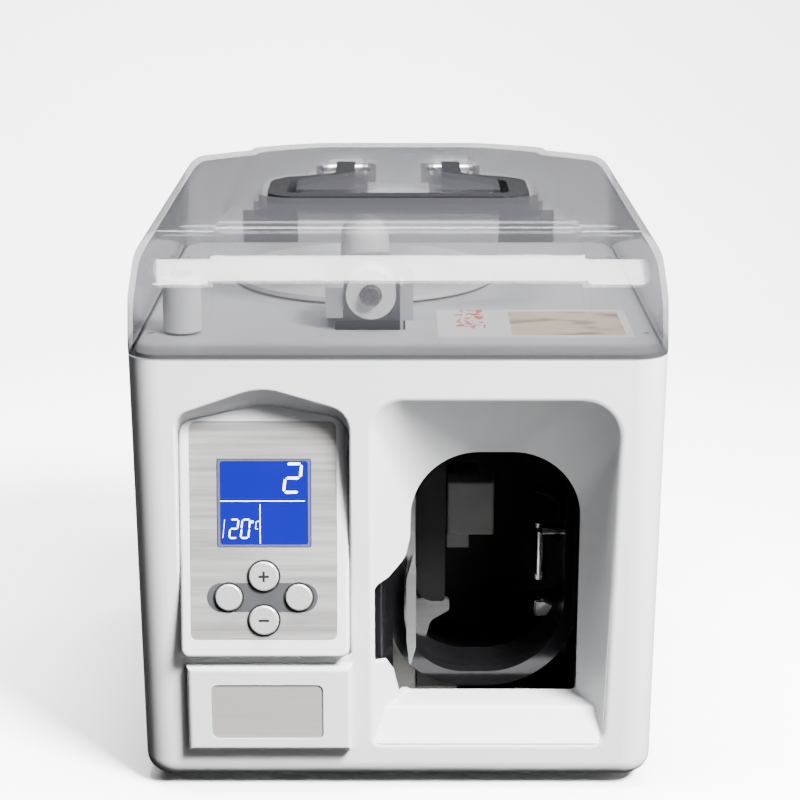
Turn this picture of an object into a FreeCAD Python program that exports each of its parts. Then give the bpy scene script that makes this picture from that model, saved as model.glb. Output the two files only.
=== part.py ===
import FreeCAD, Part
import math
import os

V = FreeCAD.Vector

# Tabletop paper-tape banding machine, millimetres.
# +X is to the right seen from the front, +Y runs from the front to the back, +Z is up.
# The origin is under the middle of the whole machine, on the surface it stands on.

# ---- driving dimensions ----
FOOT_H = 5.0             # clearance under the housing
BODY_H = 211.5           # housing, from its bottom edge to the rim under the lid
BODY_DEPTH = 266.0
FRONT_Y = -132.5         # front face of the housing
BASE_HALF_X = 123.6      # half width at the bottom edge
RIM_HALF_X = 125.6       # half width at the rim, the sides have a little draft
CORNER_R = 15.0          # upright corners of the housing
WALL = 3.0               # moulded wall of the housing
SKIN = 2.5               # moulded wall of the lid and of the inner tubs
CLEAR = 0.3              # gap between fitted parts

BASE_Z = FOOT_H
DATUM_Z = BASE_Z + 6.0   # level that the console, the throat and the mechanism are set out from
RIM_Z = BASE_Z + BODY_H
BACK_Y = FRONT_Y + BODY_DEPTH

TAPE_W = 20.0            # width of the paper tape
TAPE_Y0 = FRONT_Y + 49.0 # front edge of the tape's path
TAPE_Y1 = TAPE_Y0 + TAPE_W

LID_HALF_X = 125.8
LID_TOP_HALF_X = 122.8
LID_GAP = 0.5            # lid rim above the housing rim
SHOULDER_R = 12.0        # long edges of the lid
PANEL_HALF_X = 88.0      # raised centre panel of the lid
PANEL_STEP = 1.8

DECK_Z = RIM_Z + 1.5     # top of the deck under the lid
DECK_T = 2.5

THROAT_DEPTH = 28.0      # front face to the plane of the throat
THROAT_Y = FRONT_Y + THROAT_DEPTH

PANEL_TILT = 10.0        # console panel leans back from the upright
PANEL_FOOT_Y = FRONT_Y - 9.0
PANEL_FOOT_Z = DATUM_Z + 57.0

FRAME_Y = FRONT_Y + 74.0 # front of the mechanism frame plate
FRAME_T = 3.0

FOOT_EDGE_R = 9.0        # rounding of the housing's bottom edge
RECESS_EDGE_R = 3.0      # rounding where the recess meets the front face
NICHE_EDGE_R = 1.4       # rounding where the console's niche meets the front face
BLOCK_EDGE_R = 2.5       # rounding of the lower console block
BEZEL_EDGE_R = 1.8       # rounding of the console bezel
DECK_BOSS_R = 4.0        # bosses that the deck is screwed to
DECK_SCREW_R = 1.5
DECK_SCREWS = [(side * (RIM_HALF_X - WALL - 3.5), y) for side in (-1, 1)
               for y in (FRONT_Y + 45.0, BACK_Y - 45.0)]
REAR_OPENING_Z = BASE_Z + 12.0
FLOOR_OPENING = (-104.0, 104.0, FRONT_Y + 18.0, BACK_Y - 18.0)
PLATE_Z = BASE_Z + WALL + 1.5  # top of the base plate inside the housing


# ---- shape helpers ----
def box(x0, x1, y0, y1, z0, z1):
    return Part.makeBox(x1 - x0, y1 - y0, z1 - z0, V(x0, y0, z0))


def rod_x(r, x0, x1, y, z):
    return Part.makeCylinder(r, x1 - x0, V(x0, y, z), V(1, 0, 0))


def rod_y(r, y0, y1, x, z):
    return Part.makeCylinder(r, y1 - y0, V(x, y0, z), V(0, 1, 0))


def rod_z(r, z0, z1, x, y):
    return Part.makeCylinder(r, z1 - z0, V(x, y, z0), V(0, 0, 1))


def rounded_wire(corners, place):
    """Closed wire through corners (u, v, radius); place(u, v) gives the point in space."""
    edges = []
    joints = []
    count = len(corners)
    for i in range(count):
        u, v, r = corners[i]
        pu, pv = corners[i - 1][:2]
        nu, nv = corners[(i + 1) % count][:2]
        back = math.hypot(pu - u, pv - v)
        ahead = math.hypot(nu - u, nv - v)
        a = ((pu - u) / back, (pv - v) / back)
        b = ((nu - u) / ahead, (nv - v) / ahead)
        half = math.acos(max(-1.0, min(1.0, a[0] * b[0] + a[1] * b[1]))) / 2
        cut = r / math.tan(half)
        mid = (a[0] + b[0], a[1] + b[1])
        length = math.hypot(*mid) or 1.0
        reach = r / math.sin(half) - r
        enter = place(u + a[0] * cut, v + a[1] * cut)
        top = place(u + mid[0] / length * reach, v + mid[1] / length * reach)
        leave = place(u + b[0] * cut, v + b[1] * cut)
        joints.append((enter, top, leave, r))
    for i in range(count):
        enter, top, leave, r = joints[i]
        before = joints[i - 1][2]
        if before.distanceToPoint(enter) > 1e-6:
            edges.append(Part.LineSegment(before, enter).toShape())
        if r > 0:
            edges.append(Part.Arc(enter, top, leave).toShape())
    return Part.Wire(edges)


def front_plane(y):
    return lambda u, v: V(u, y, v)


def top_plane(z):
    return lambda u, v: V(u, v, z)


def side_plane(x):
    return lambda u, v: V(x, u, v)


def prism_y(corners, y0, y1):
    return Part.Face(rounded_wire(corners, front_plane(y0))).extrude(V(0, y1 - y0, 0))


def prism_z(corners, z0, z1):
    return Part.Face(rounded_wire(corners, top_plane(z0))).extrude(V(0, 0, z1 - z0))


def prism_x(corners, x0, x1):
    return Part.Face(rounded_wire(corners, side_plane(x0))).extrude(V(x1 - x0, 0, 0))


def rect(u0, u1, v0, v1, r):
    return [(u0, v0, r), (u1, v0, r), (u1, v1, r), (u0, v1, r)]


def loft(lower, upper):
    return Part.makeLoft([lower, upper], True, True)


def edges_where(shape, test):
    """Edges whose two ends both pass the test."""
    found = []
    for edge in shape.Edges:
        ends = [vertex.Point for vertex in edge.Vertexes]
        if len(ends) == 2 and test(ends[0]) and test(ends[1]):
            found.append(edge)
    return found


def save(name, shape):
    solids = shape.Solids
    good = all(s.isValid() and s.isClosed() for s in solids)
    print(name, len(solids), "ok" if good and solids else "BAD", round(sum(s.Volume for s in solids)))
    shape.exportStep("parts/" + name + ".step")


def group(shapes):
    return Part.makeCompound(shapes)


# ---- housing ----
def body_outline(half_x, inset, z):
    r = CORNER_R - inset
    corners = rect(-half_x + inset, half_x - inset, FRONT_Y + inset, BACK_Y - inset, r)
    return rounded_wire(corners, top_plane(z))


RECESS_L = -12.5         # front-right recess, seen from the front
RECESS_R_TOP = 104.5
RECESS_R_LOW = 99.8
RECESS_Z0 = DATUM_Z + 12.0
RECESS_Z1 = DATUM_Z + 186.5
THROAT_L = 4.5
THROAT_R = 88.3
THROAT_Z0 = DATUM_Z + 28.0
THROAT_Z1 = DATUM_Z + 152.5


def recess_corners(grow):
    return [(RECESS_L - grow, RECESS_Z0 - grow, 4 + grow),
            (RECESS_R_LOW + grow, RECESS_Z0 - grow, 6 + grow),
            (RECESS_R_TOP + grow, RECESS_Z1 + grow, 18 + grow),
            (RECESS_L - grow, RECESS_Z1 + grow, 14 + grow)]


def throat_corners(grow):
    return [(THROAT_L - grow, THROAT_Z0 - grow, 2 + grow),
            (THROAT_R + grow, THROAT_Z0 - grow, 3 + grow),
            (THROAT_R + grow, THROAT_Z1 + grow, 33 + grow),
            (THROAT_L + 2 - grow, THROAT_Z1 + grow, 33 + grow)]


def recess_block(grow, y0, y1):
    """Solid that narrows from the recess in the front face to the throat."""
    return loft(rounded_wire(recess_corners(grow), front_plane(y0)),
                rounded_wire(throat_corners(grow), front_plane(y1)))


def shelf_block():
    """Flat shelf in front of the throat, with a slope down to the front face."""
    profile = [(FRONT_Y + 10.5, THROAT_Z0, 2.5), (THROAT_Y + 4, THROAT_Z0, 0),
               (THROAT_Y + 4, RECESS_Z0 - 4, 0), (FRONT_Y + 0.5, RECESS_Z0 - 4, 0),
               (FRONT_Y + 0.5, RECESS_Z0 + 1, 0)]
    return prism_x(profile, RECESS_L - 1, RECESS_R_TOP + 2)


NOTCH = [(6.5, DATUM_Z + 112, 4), (3.6, DATUM_Z + 100, 8), (-4.5, DATUM_Z + 94.5, 5),
         (-11.2, DATUM_Z + 93.5, 2.5),
         (-11.2, DATUM_Z + 54.0, 2), (-6.0, DATUM_Z + 51.0, 3), (-2.0, DATUM_Z + 42.0, 6), (0.4,
                                                                                            DATUM_Z + 29.0, 0),
         (20.0, DATUM_Z + 29.0, 0), (20.0, DATUM_Z + 112, 0)]

NICHE_L = -103.3         # niche that holds the console panel
NICHE_R = -22.8
NICHE_Z0 = DATUM_Z + 58.5
NICHE_DEPTH = 17.0
HOOD_DROP = 16.0         # the hood over the console slopes down this far


def niche_corners(drop, grow):
    return [(NICHE_L - grow, NICHE_Z0 - grow, 3), (NICHE_R + grow, NICHE_Z0 - grow, 3),
            (NICHE_R + grow, DATUM_Z + 180.5 - 0.6 * drop + grow, 12),
            (-63.5, DATUM_Z + 193.0 - drop + grow, 30),
            (NICHE_L - grow, DATUM_Z + 179.0 - 0.6 * drop + grow, 8)]


def niche_block(grow, y0, y1):
    return loft(rounded_wire(niche_corners(0, grow), front_plane(y0)),
                rounded_wire(niche_corners(HOOD_DROP, grow), front_plane(y1)))


def hood_space():
    """Solid round the upper part of the niche, with the bezel's clearance taken from the niche."""
    mass = box(NICHE_L - 5, NICHE_R + 5, FRONT_Y, FRONT_Y + 2 * NICHE_DEPTH, DATUM_Z + 140, DATUM_Z + 210)
    deep = prism_y(niche_corners(HOOD_DROP, -CLEAR), FRONT_Y + NICHE_DEPTH - 0.01,
                   FRONT_Y + 2 * NICHE_DEPTH + 1)
    return mass.cut(niche_block(-CLEAR, FRONT_Y - 0.01, FRONT_Y + NICHE_DEPTH)).cut(deep)


BLOCK_L = -101.0         # lower console block with the plate pocket
BLOCK_R = -22.0
BLOCK_Z0 = DATUM_Z + 12.0
BLOCK_Z1 = DATUM_Z + 55.5
BLOCK_Y = FRONT_Y - 6.0
PLATE = (-89.3, -35.8, DATUM_Z + 18.5, DATUM_Z + 46.5)
PLATE_POCKET = 1.6


def front_loop(shape, x0, x1, z0, z1):
    """Edges in the front face whose middles lie inside the given window."""
    found = []
    for edge in shape.Edges:
        mid = edge.CenterOfMass
        flat = all(abs(vertex.Point.y - FRONT_Y) < 0.02 for vertex in edge.Vertexes)
        if flat and x0 < mid.x < x1 and z0 < mid.z < z1:
            found.append(edge)
    return found


def main_housing():
    outer = loft(body_outline(BASE_HALF_X, 0, BASE_Z), body_outline(RIM_HALF_X, 0, RIM_Z))
    low = edges_where(outer, lambda p: abs(p.z - BASE_Z) < 0.01)
    outer = outer.makeFillet(FOOT_EDGE_R, low)
    inner = loft(body_outline(BASE_HALF_X, WALL, BASE_Z + WALL), body_outline(RIM_HALF_X, WALL, RIM_Z + 1))
    shell = outer.cut(inner)
    shell = shell.fuse(recess_block(SKIN, FRONT_Y + 0.5, THROAT_Y + SKIN))
    shell = shell.fuse(niche_block(SKIN, FRONT_Y + 0.5, FRONT_Y + NICHE_DEPTH))
    shell = shell.cut(recess_block(0, FRONT_Y - 0.01, THROAT_Y))
    shell = shell.cut(niche_block(0, FRONT_Y - 0.01, FRONT_Y + NICHE_DEPTH + 0.01))
    recess_rim = front_loop(shell, RECESS_L - 1, RECESS_R_TOP, RECESS_Z0 - 1, RECESS_Z1 + 1)
    shell = shell.makeFillet(RECESS_EDGE_R, recess_rim)
    niche_rim = front_loop(shell, NICHE_L - 1, NICHE_R + 1, NICHE_Z0 - 1, DATUM_Z + 194)
    shell = shell.makeFillet(NICHE_EDGE_R, niche_rim)
    block = box(BLOCK_L, BLOCK_R, BLOCK_Y, FRONT_Y + WALL, BLOCK_Z0, BLOCK_Z1)
    proud = edges_where(block, lambda p: p.y < FRONT_Y)
    shell = shell.fuse(block.makeFillet(BLOCK_EDGE_R, proud))
    shelf = shelf_block().common(recess_block(0.5, FRONT_Y - 0.01, THROAT_Y + SKIN))
    shell = shell.fuse(shelf)
    throat = prism_y(throat_corners(0), THROAT_Y - 2, THROAT_Y + SKIN + 1)
    notch = prism_y(NOTCH, FRONT_Y + 1.6, THROAT_Y + SKIN + 3)
    shell = shell.cut(throat).cut(notch)
    pocket = prism_y(rect(*PLATE, 3), BLOCK_Y - 1, BLOCK_Y + PLATE_POCKET)
    shell = shell.cut(pocket)
    hollow = box(BLOCK_L + SKIN, BLOCK_R - SKIN, BLOCK_Y + PLATE_POCKET + 2, FRONT_Y + WALL + 1,
                 BLOCK_Z0 + SKIN, BLOCK_Z1 - SKIN)
    shell = shell.cut(hollow)
    rear = box(-RIM_HALF_X + CORNER_R, RIM_HALF_X - CORNER_R, BACK_Y - WALL - 1, BACK_Y + 1,
               REAR_OPENING_Z, RIM_Z + 1)
    floor = prism_z(rect(*FLOOR_OPENING, 8), BASE_Z - 1, BASE_Z + WALL + 1)
    shell = shell.cut(rear).cut(floor)
    for x, y in DECK_SCREWS:
        boss = rod_z(DECK_BOSS_R, RIM_Z - 45, DECK_Z - DECK_T, x, y)
        shell = shell.fuse(boss.cut(rod_z(DECK_SCREW_R, DECK_Z - DECK_T - 12, DECK_Z, x, y)))
    return shell.removeSplitter()


SLOT = (-31.0, 3.5, FRONT_Y + 51.0, FRONT_Y + 82.0)  # opening in the deck that the tape drops through
POST_X = -103.5          # guide post at the front left of the deck
POST_Y = FRONT_Y + 47.0
ROLL_X = -18.0           # axis of the tape roll's turntable
ROLL_Y = FRONT_Y + 172.0


def top_deck():
    z0 = DECK_Z - DECK_T
    inset = WALL + CLEAR
    r = CORNER_R - inset
    corners = rect(-RIM_HALF_X + inset + 0.1, RIM_HALF_X - inset - 0.1, FRONT_Y + inset, BACK_Y - inset, r)
    deck = prism_z(corners, z0, DECK_Z)
    slot = prism_z(rect(*SLOT, 1.5), z0 - 1, DECK_Z + 1)
    deck = deck.cut(slot)
    deck = deck.cut(rod_z(2.6, z0 - 1, DECK_Z + 1, POST_X, POST_Y))
    deck = deck.cut(rod_z(4.1, z0 - 1, DECK_Z + 1, ROLL_X, ROLL_Y))
    for x, y in DECK_SCREWS:
        deck = deck.cut(rod_z(DECK_SCREW_R + CLEAR, z0 - 1, DECK_Z + 1, x, y))
    return deck


INLET_X = 62.0           # mains inlet, switch and screws of the rear cover
INLET_Z = DATUM_Z + 40.0
SWITCH_X = 28.0
REAR_SCREWS = [(x, z) for x in (-98.0, 98.0) for z in (DATUM_Z + 22.0, DATUM_Z + 95.0, DATUM_Z + 190.0)]
VENT_X = 52.0            # middle of each bank of air slots
VENT_HALF = 28.0
VENT_H = 3.0
VENT_STEP = 8.0
VENT_COUNT = 9


def rear_cover():
    half = RIM_HALF_X - CORNER_R - CLEAR
    z0 = REAR_OPENING_Z + CLEAR
    panel = box(-half, half, BACK_Y - 2.5, BACK_Y - 0.2, z0, RIM_Z - CLEAR)
    lip = box(-half + 3, half - 3, BACK_Y - 5.5, BACK_Y - 2.5, z0 + 2, DECK_Z - DECK_T - 1)
    inside = box(-half + 5, half - 5, BACK_Y - 6.5, BACK_Y - 2.5, z0 + 4, DECK_Z)
    cover = panel.fuse(lip.cut(inside))
    for x in (-VENT_X, VENT_X):
        for i in range(VENT_COUNT):
            z = DATUM_Z + 110 + VENT_STEP * i
            slot = rect(x - VENT_HALF, x + VENT_HALF, z, z + VENT_H, VENT_H * 0.48)
            cover = cover.cut(prism_y(slot, BACK_Y - 3, BACK_Y))
    cover = cover.cut(box(INLET_X - 14.1, INLET_X + 14.1, BACK_Y - 7, BACK_Y, INLET_Z - 10.1,
                          INLET_Z + 10.1))
    cover = cover.cut(box(SWITCH_X - 6.6, SWITCH_X + 6.6, BACK_Y - 7, BACK_Y, INLET_Z - 9.6, INLET_Z + 9.6))
    for x, z in REAR_SCREWS:
        cover = cover.cut(rod_y(1.8, BACK_Y - 3, BACK_Y, x, z))
    return cover


def screw_y(x, y, z, head_r, head_h, shank_r, shank):
    """Pan-head screw driven towards -Y, its head's underside at y."""
    head = rod_y(head_r, y, y + head_h, x, z)
    rim = [e for e in head.Edges if e.Length > head_r * math.pi and e.CenterOfMass.y > y + head_h / 2]
    head = head.makeFillet(head_h * 0.4, rim)
    long_half = head_r * 0.6
    slot_a = box(x - long_half, x + long_half, y + head_h * 0.45, y + head_h + 1, z - 0.4, z + 0.4)
    slot_b = box(x - 0.4, x + 0.4, y + head_h * 0.45, y + head_h + 1, z - long_half, z + long_half)
    return head.cut(slot_a).cut(slot_b).fuse(rod_y(shank_r, y - shank, y, x, z))


def rear_screws():
    return group([screw_y(x, BACK_Y - 0.2, z, 3.0, 1.6, 1.5, 2.2) for x, z in REAR_SCREWS])


FEET = [(x, y) for x in (-92.0, 92.0) for y in (FRONT_Y + 30.0, BACK_Y - 30.0)]


def base_plate():
    plate = prism_z(rect(-114, 114, FRONT_Y + 7, BACK_Y - 7, 8), BASE_Z + WALL, PLATE_Z)
    for x, y in FEET:
        plate = plate.cut(rod_z(2.1, BASE_Z, BASE_Z + 6, x, y))
    return plate


def rubber_feet():
    feet = []
    for x, y in FEET:
        pad = Part.makeCone(8.0, 9.0, BASE_Z + WALL, V(x, y, 0))
        stud = rod_z(2.0, BASE_Z + WALL, BASE_Z + WALL + 3, x, y)
        feet.append(pad.fuse(stud))
    return group(feet)


# ---- lid ----
LID_Z = RIM_Z + LID_GAP
LID_FRONT_Y = FRONT_Y - 0.5
LID_BACK_Y = BACK_Y
LID_WALL_H = 10.5        # upright part of the lid's front
CROWN_RISE = math.radians(4.5)
CROWN_FALL = math.radians(2.0)
CROWN_Z = LID_Z + 59.0   # highest line of the lid beside the raised panel
SHOULDER_DROP = 7.0      # the lid is lower at its shoulders than along its middle


def tangent_chain(y, z, heading, steps):
    """Lines and arcs that run on from each other: a step is a length, or a radius and the new heading."""
    edges = []
    here = V(0, y, z)
    for step in steps:
        if isinstance(step, float):
            there = here + step * V(0, math.cos(heading), math.sin(heading))
            edges.append(Part.LineSegment(here, there).toShape())
        else:
            radius, turned = step
            middle = (heading + turned) / 2
            half = (heading - turned) / 2
            chord = 2 * radius * math.sin(half)
            there = here + chord * V(0, math.cos(middle), math.sin(middle))
            across = radius * (1 - math.cos(half))
            top = (here + there) / 2 + across * V(0, -math.sin(middle), math.cos(middle))
            edges.append(Part.Arc(here, top, there).toShape())
            heading = turned
        here = there
    return edges, here


def lid_side(inset, lift):
    """Side outline of the lid: upright front wall, long brow, nearly flat crown, upright back."""
    y = LID_FRONT_Y + inset
    steps = [LID_WALL_H + lift, (18.0 - inset, math.radians(50)), (130.0 - inset, math.radians(30)),
             (20.0 - inset, CROWN_RISE)]
    edges, brow = tangent_chain(y, LID_Z, math.radians(88.5), steps)
    nape_r = 5.0 - inset
    back = LID_BACK_Y - inset
    crown_run = back - nape_r * (1 - math.sin(CROWN_FALL)) - brow.y
    crown_r = crown_run / (math.sin(CROWN_RISE) + math.sin(CROWN_FALL))
    more, nape = tangent_chain(brow.y, brow.z, CROWN_RISE, [(crown_r, -CROWN_FALL), (nape_r, -math.pi / 2)])
    heel = V(0, nape.y, LID_Z)
    foot = V(0, y, LID_Z)
    sill = [Part.LineSegment(nape, heel).toShape(), Part.LineSegment(heel, foot).toShape()]
    return Part.Face(Part.Wire(edges + more + sill))


def lid_front(half_low, half_top, top, crown, r):
    """Front outline of the lid or of its raised panel, with a crowned top and rounded shoulders."""
    slope = (half_low - half_top) / (top - LID_Z)
    z_turn = top - r
    x_turn = half_low - slope * (z_turn - LID_Z)
    x_in = half_top - r
    bend = math.sqrt(0.5)
    arc_x = x_in + (x_turn - x_in) * bend
    arc_z = z_turn + (top - z_turn) * bend
    pts = [V(-half_low, 0, LID_Z), V(-x_turn, 0, z_turn), V(-arc_x, 0, arc_z), V(-x_in, 0, top),
           V(0, 0, top + crown),
           V(x_in, 0, top), V(arc_x, 0, arc_z), V(x_turn, 0, z_turn), V(half_low, 0, LID_Z)]
    edges = [Part.LineSegment(pts[0], pts[1]).toShape(), Part.Arc(pts[1], pts[2], pts[3]).toShape(),
             Part.Arc(pts[3], pts[4], pts[5]).toShape(), Part.Arc(pts[5], pts[6], pts[7]).toShape(),
             Part.LineSegment(pts[7], pts[8]).toShape(), Part.LineSegment(pts[8], pts[0]).toShape()]
    return Part.Face(Part.Wire(edges))


def lid_mass(inset):
    """Solid bounded by the lid's outside, or by its inside when inset by the wall."""
    long_side = 400.0
    side = lid_side(inset, 0).translated(V(-long_side / 2, 0, 0)).extrude(V(long_side, 0, 0))
    shoulders = lid_front(LID_HALF_X - inset, LID_TOP_HALF_X - inset, CROWN_Z - SHOULDER_DROP - inset,
                          SHOULDER_DROP, SHOULDER_R)
    low = side.common(shoulders.translated(V(0, FRONT_Y - 50, 0)).extrude(V(0, long_side, 0)))
    plan = prism_z(rect(-LID_HALF_X + inset, LID_HALF_X - inset, LID_FRONT_Y + inset, LID_BACK_Y - inset,
                        CORNER_R + 1 - inset), LID_Z - 1, CROWN_Z + 20)
    low = low.common(plan)
    lifted = lid_side(inset, PANEL_STEP).translated(V(-long_side / 2, 0, 0)).extrude(V(long_side, 0, 0))
    trunk = lid_front(PANEL_HALF_X + 2 - inset, PANEL_HALF_X - 2 - inset,
                      CROWN_Z + PANEL_STEP - 0.6 * SHOULDER_DROP - inset, 0.6 * SHOULDER_DROP, 5)
    high = lifted.common(trunk.translated(V(0, FRONT_Y - 50, 0)).extrude(V(0, long_side, 0)))
    return low.fuse(high)


HANDLE_W = 10.0
HANDLE_T = 7.0
HANDLE_HALF_X = 61.0     # centre line of the side arms
HANDLE_FRONT_Y = FRONT_Y + 101.5
HANDLE_LEG_X = 28.5
HANDLE_PIVOT_Y = FRONT_Y + 204.0
HANDLE_Z = RIM_Z + 51.7  # underside of the handle, folded flat
HANDLE_PIVOT_Z = HANDLE_Z + HANDLE_T / 2
HANDLE_PIN_R = 1.8
HANDLE_ROOM = 4.5        # clear channel on each side of the folded handle
SCOOP_R = 15.5


def handle_path():
    """Half of the bail's centre line, from the middle of the grip to the pivot."""
    y0 = HANDLE_FRONT_Y
    return [(0, y0, 0), (HANDLE_HALF_X, y0, 9), (HANDLE_HALF_X, y0 + 45, 14), (HANDLE_LEG_X, y0 + 61, 12),
            (HANDLE_LEG_X, HANDLE_PIVOT_Y, 0)]


def path_strip(width, z0, z1, tail):
    """Flat strip of the given width along the whole bail, extended by tail past the pivots."""
    half = [list(p) for p in handle_path()]
    half[-1][1] += tail
    left = offset_side(half, width / 2)
    right = offset_side(half, -width / 2)
    outline = left + right[::-1]
    mirrored = [(-u, v, r) for u, v, r in outline]
    arm = prism_z(outline, z0, z1)
    other = prism_z(mirrored, z0, z1)
    return arm.fuse(other).removeSplitter()


def offset_side(path, d):
    """Corners of a line at distance d to the left of the path, with its corner radii adjusted."""
    out = []
    for i, (u, v, r) in enumerate(path):
        dirs = []
        if i > 0:
            dirs.append(unit(path[i - 1], path[i]))
        if i < len(path) - 1:
            dirs.append(unit(path[i], path[i + 1]))
        normals = [(-dy, dx) for dx, dy in dirs]
        if len(normals) == 1:
            out.append((u + normals[0][0] * d, v + normals[0][1] * d, 0))
            continue
        sx = normals[0][0] + normals[1][0]
        sy = normals[0][1] + normals[1][1]
        scale = 2.0 / (sx * sx + sy * sy)
        turn = dirs[0][0] * dirs[1][1] - dirs[0][1] * dirs[1][0]
        radius = r - d if turn > 0 else r + d
        out.append((u + sx * scale * d, v + sy * scale * d, max(radius, 0.5)))
    return out


def unit(a, b):
    dx = b[0] - a[0]
    dy = b[1] - a[1]
    length = math.hypot(dx, dy)
    return dx / length, dy / length


def finger_scoop():
    dish = Part.makeCylinder(SCOOP_R, 20, V(0, HANDLE_FRONT_Y + 9, HANDLE_Z), V(0, 0, 1))
    back = box(-20, 20, HANDLE_FRONT_Y + 2, HANDLE_FRONT_Y + 30, HANDLE_Z - 1, HANDLE_Z + 30)
    return dish.common(back)


def lid():
    shell = lid_mass(0).cut(lid_mass(SKIN))
    tub = path_strip(HANDLE_W + 2 * HANDLE_ROOM + 2 * SKIN, HANDLE_Z - 1 - SKIN, CROWN_Z + 9, 12)
    bowl = rod_z(SCOOP_R + SKIN, HANDLE_Z - SKIN, CROWN_Z + 9, 0, HANDLE_FRONT_Y + 9)
    ears = [box(side * HANDLE_LEG_X - 16, side * HANDLE_LEG_X + 16, HANDLE_PIVOT_Y - 6, HANDLE_PIVOT_Y + 6,
                HANDLE_Z - 1 - SKIN, CROWN_Z + 9) for side in (-1, 1)]
    inner = tub.fuse([bowl] + ears).common(lid_mass(0.02))
    shell = shell.fuse(inner)
    shell = shell.cut(path_strip(HANDLE_W + 2 * HANDLE_ROOM, HANDLE_Z - 1, CROWN_Z + 20, 9))
    shell = shell.cut(finger_scoop())
    for side in (-1, 1):
        axle = rod_x(HANDLE_PIN_R, side * HANDLE_LEG_X - 14, side * HANDLE_LEG_X + 14, HANDLE_PIVOT_Y,
                     HANDLE_PIVOT_Z)
        shell = shell.cut(axle)
    tab_profile = [(LID_FRONT_Y - 3.5, LID_Z - 8, 1.5), (LID_FRONT_Y - 1.2, LID_Z - 8, 1.0),
                   (LID_FRONT_Y - 1.2, LID_Z - 0.2, 0), (LID_FRONT_Y + 1.5, LID_Z, 0),
                   (LID_FRONT_Y + 1.5, LID_Z + 8, 0), (LID_FRONT_Y, LID_Z + 8, 0),
                   (LID_FRONT_Y - 3.5, LID_Z, 2.0)]
    tab = prism_x(tab_profile, -16.5, 19.0)
    tab = tab.common(prism_y([(-16.5, LID_Z + 9, 0), (-16.5, LID_Z - 2, 4), (-7, LID_Z - 8.2, 6),
                              (9.5, LID_Z - 8.2, 6), (19, LID_Z - 2, 4), (19, LID_Z + 9, 0)],
                             LID_FRONT_Y - 5, LID_FRONT_Y + 3))
    return shell.fuse(tab).removeSplitter()


def carry_handle():
    bail = path_strip(HANDLE_W, HANDLE_Z, HANDLE_Z + HANDLE_T, 0)
    for side in (-1, 1):
        eye = rod_x(HANDLE_T / 2, side * HANDLE_LEG_X - HANDLE_W / 2, side * HANDLE_LEG_X + HANDLE_W / 2,
                    HANDLE_PIVOT_Y, HANDLE_PIVOT_Z)
        bail = bail.fuse(eye)
        bail = bail.cut(rod_x(HANDLE_PIN_R + 0.05, side * HANDLE_LEG_X - 10, side * HANDLE_LEG_X + 10,
                              HANDLE_PIVOT_Y, HANDLE_PIVOT_Z))
    return bail.removeSplitter()


def handle_pins():
    return group([rod_x(HANDLE_PIN_R, side * HANDLE_LEG_X - 13.5, side * HANDLE_LEG_X + 13.5,
                        HANDLE_PIVOT_Y, HANDLE_PIVOT_Z) for side in (-1, 1)])


HINGE_Y = BACK_Y + 3.5
HINGE_Z = RIM_Z + 3.0
HINGE_R = 3.5
HINGE_PIN_R = 1.5
HINGE_X = (-75.0, 75.0)
HINGE_HALF = 16.0


def hinge_leaves(on_lid):
    """Two stamped leaves with rolled knuckles. The lid's leaves carry the middle knuckle, the others the pins."""
    leaves = []
    for x in HINGE_X:
        if on_lid:
            spans = [(x - 5.8, x + 5.8)]
            plate = box(x - HINGE_HALF, x + HINGE_HALF, BACK_Y + 0.6, BACK_Y + 2.0, HINGE_Z + 4.2,
                        HINGE_Z + 17)
            neck = box(x - 5.8, x + 5.8, BACK_Y + 0.6, BACK_Y + 2.0, HINGE_Z, HINGE_Z + 5)
        else:
            spans = [(x - HINGE_HALF, x - 6.2), (x + 6.2, x + HINGE_HALF)]
            plate = box(x - HINGE_HALF, x + HINGE_HALF, BACK_Y + 0.01, BACK_Y + 1.5, HINGE_Z - 20,
                        HINGE_Z - 4.2)
            neck = group([box(a, b, BACK_Y + 0.01, BACK_Y + 1.5, HINGE_Z - 5, HINGE_Z) for a, b in spans])
        leaf = plate
        for part in neck.Solids:
            leaf = leaf.fuse(part)
        for a, b in spans:
            leaf = leaf.fuse(rod_x(HINGE_R, a, b, HINGE_Y, HINGE_Z))
        pin = rod_x(HINGE_PIN_R, x - HINGE_HALF, x + HINGE_HALF, HINGE_Y, HINGE_Z)
        if on_lid:
            leaf = leaf.cut(rod_x(HINGE_PIN_R + 0.05, x - 30, x + 30, HINGE_Y, HINGE_Z))
            leaves.append(leaf.removeSplitter())
        else:
            leaf = leaf.cut(rod_x(HINGE_PIN_R, x - 30, x + 30, HINGE_Y, HINGE_Z))
            leaves.append(leaf.removeSplitter())
            leaves.append(pin)
    return group(leaves)


# ---- tape path on the deck ----
TRAY_R = 70.0
TRAY_Z = DECK_Z + 1.5


def roll_tray():
    disc = rod_z(TRAY_R, TRAY_Z, TRAY_Z + 2.5, ROLL_X, ROLL_Y)
    collar = rod_z(12.0, TRAY_Z + 2.5, TRAY_Z + 6.0, ROLL_X, ROLL_Y)
    return disc.fuse(collar).cut(rod_z(8.0, TRAY_Z - 1, TRAY_Z + 7, ROLL_X, ROLL_Y))


def roll_hub():
    hub = rod_z(13.0, TRAY_Z + 6.0, TRAY_Z + 20.0, ROLL_X, ROLL_Y)
    dome = Part.makeSphere(13.0, V(ROLL_X, ROLL_Y, TRAY_Z + 20.0), V(0, 0, 1), 0, 90, 360)
    stem = rod_z(8.0, TRAY_Z, TRAY_Z + 6.0, ROLL_X, ROLL_Y)
    return hub.fuse(dome).fuse(stem).cut(rod_z(4.05, TRAY_Z - 1, TRAY_Z + 20.0, ROLL_X,
                                               ROLL_Y)).removeSplitter()


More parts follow.
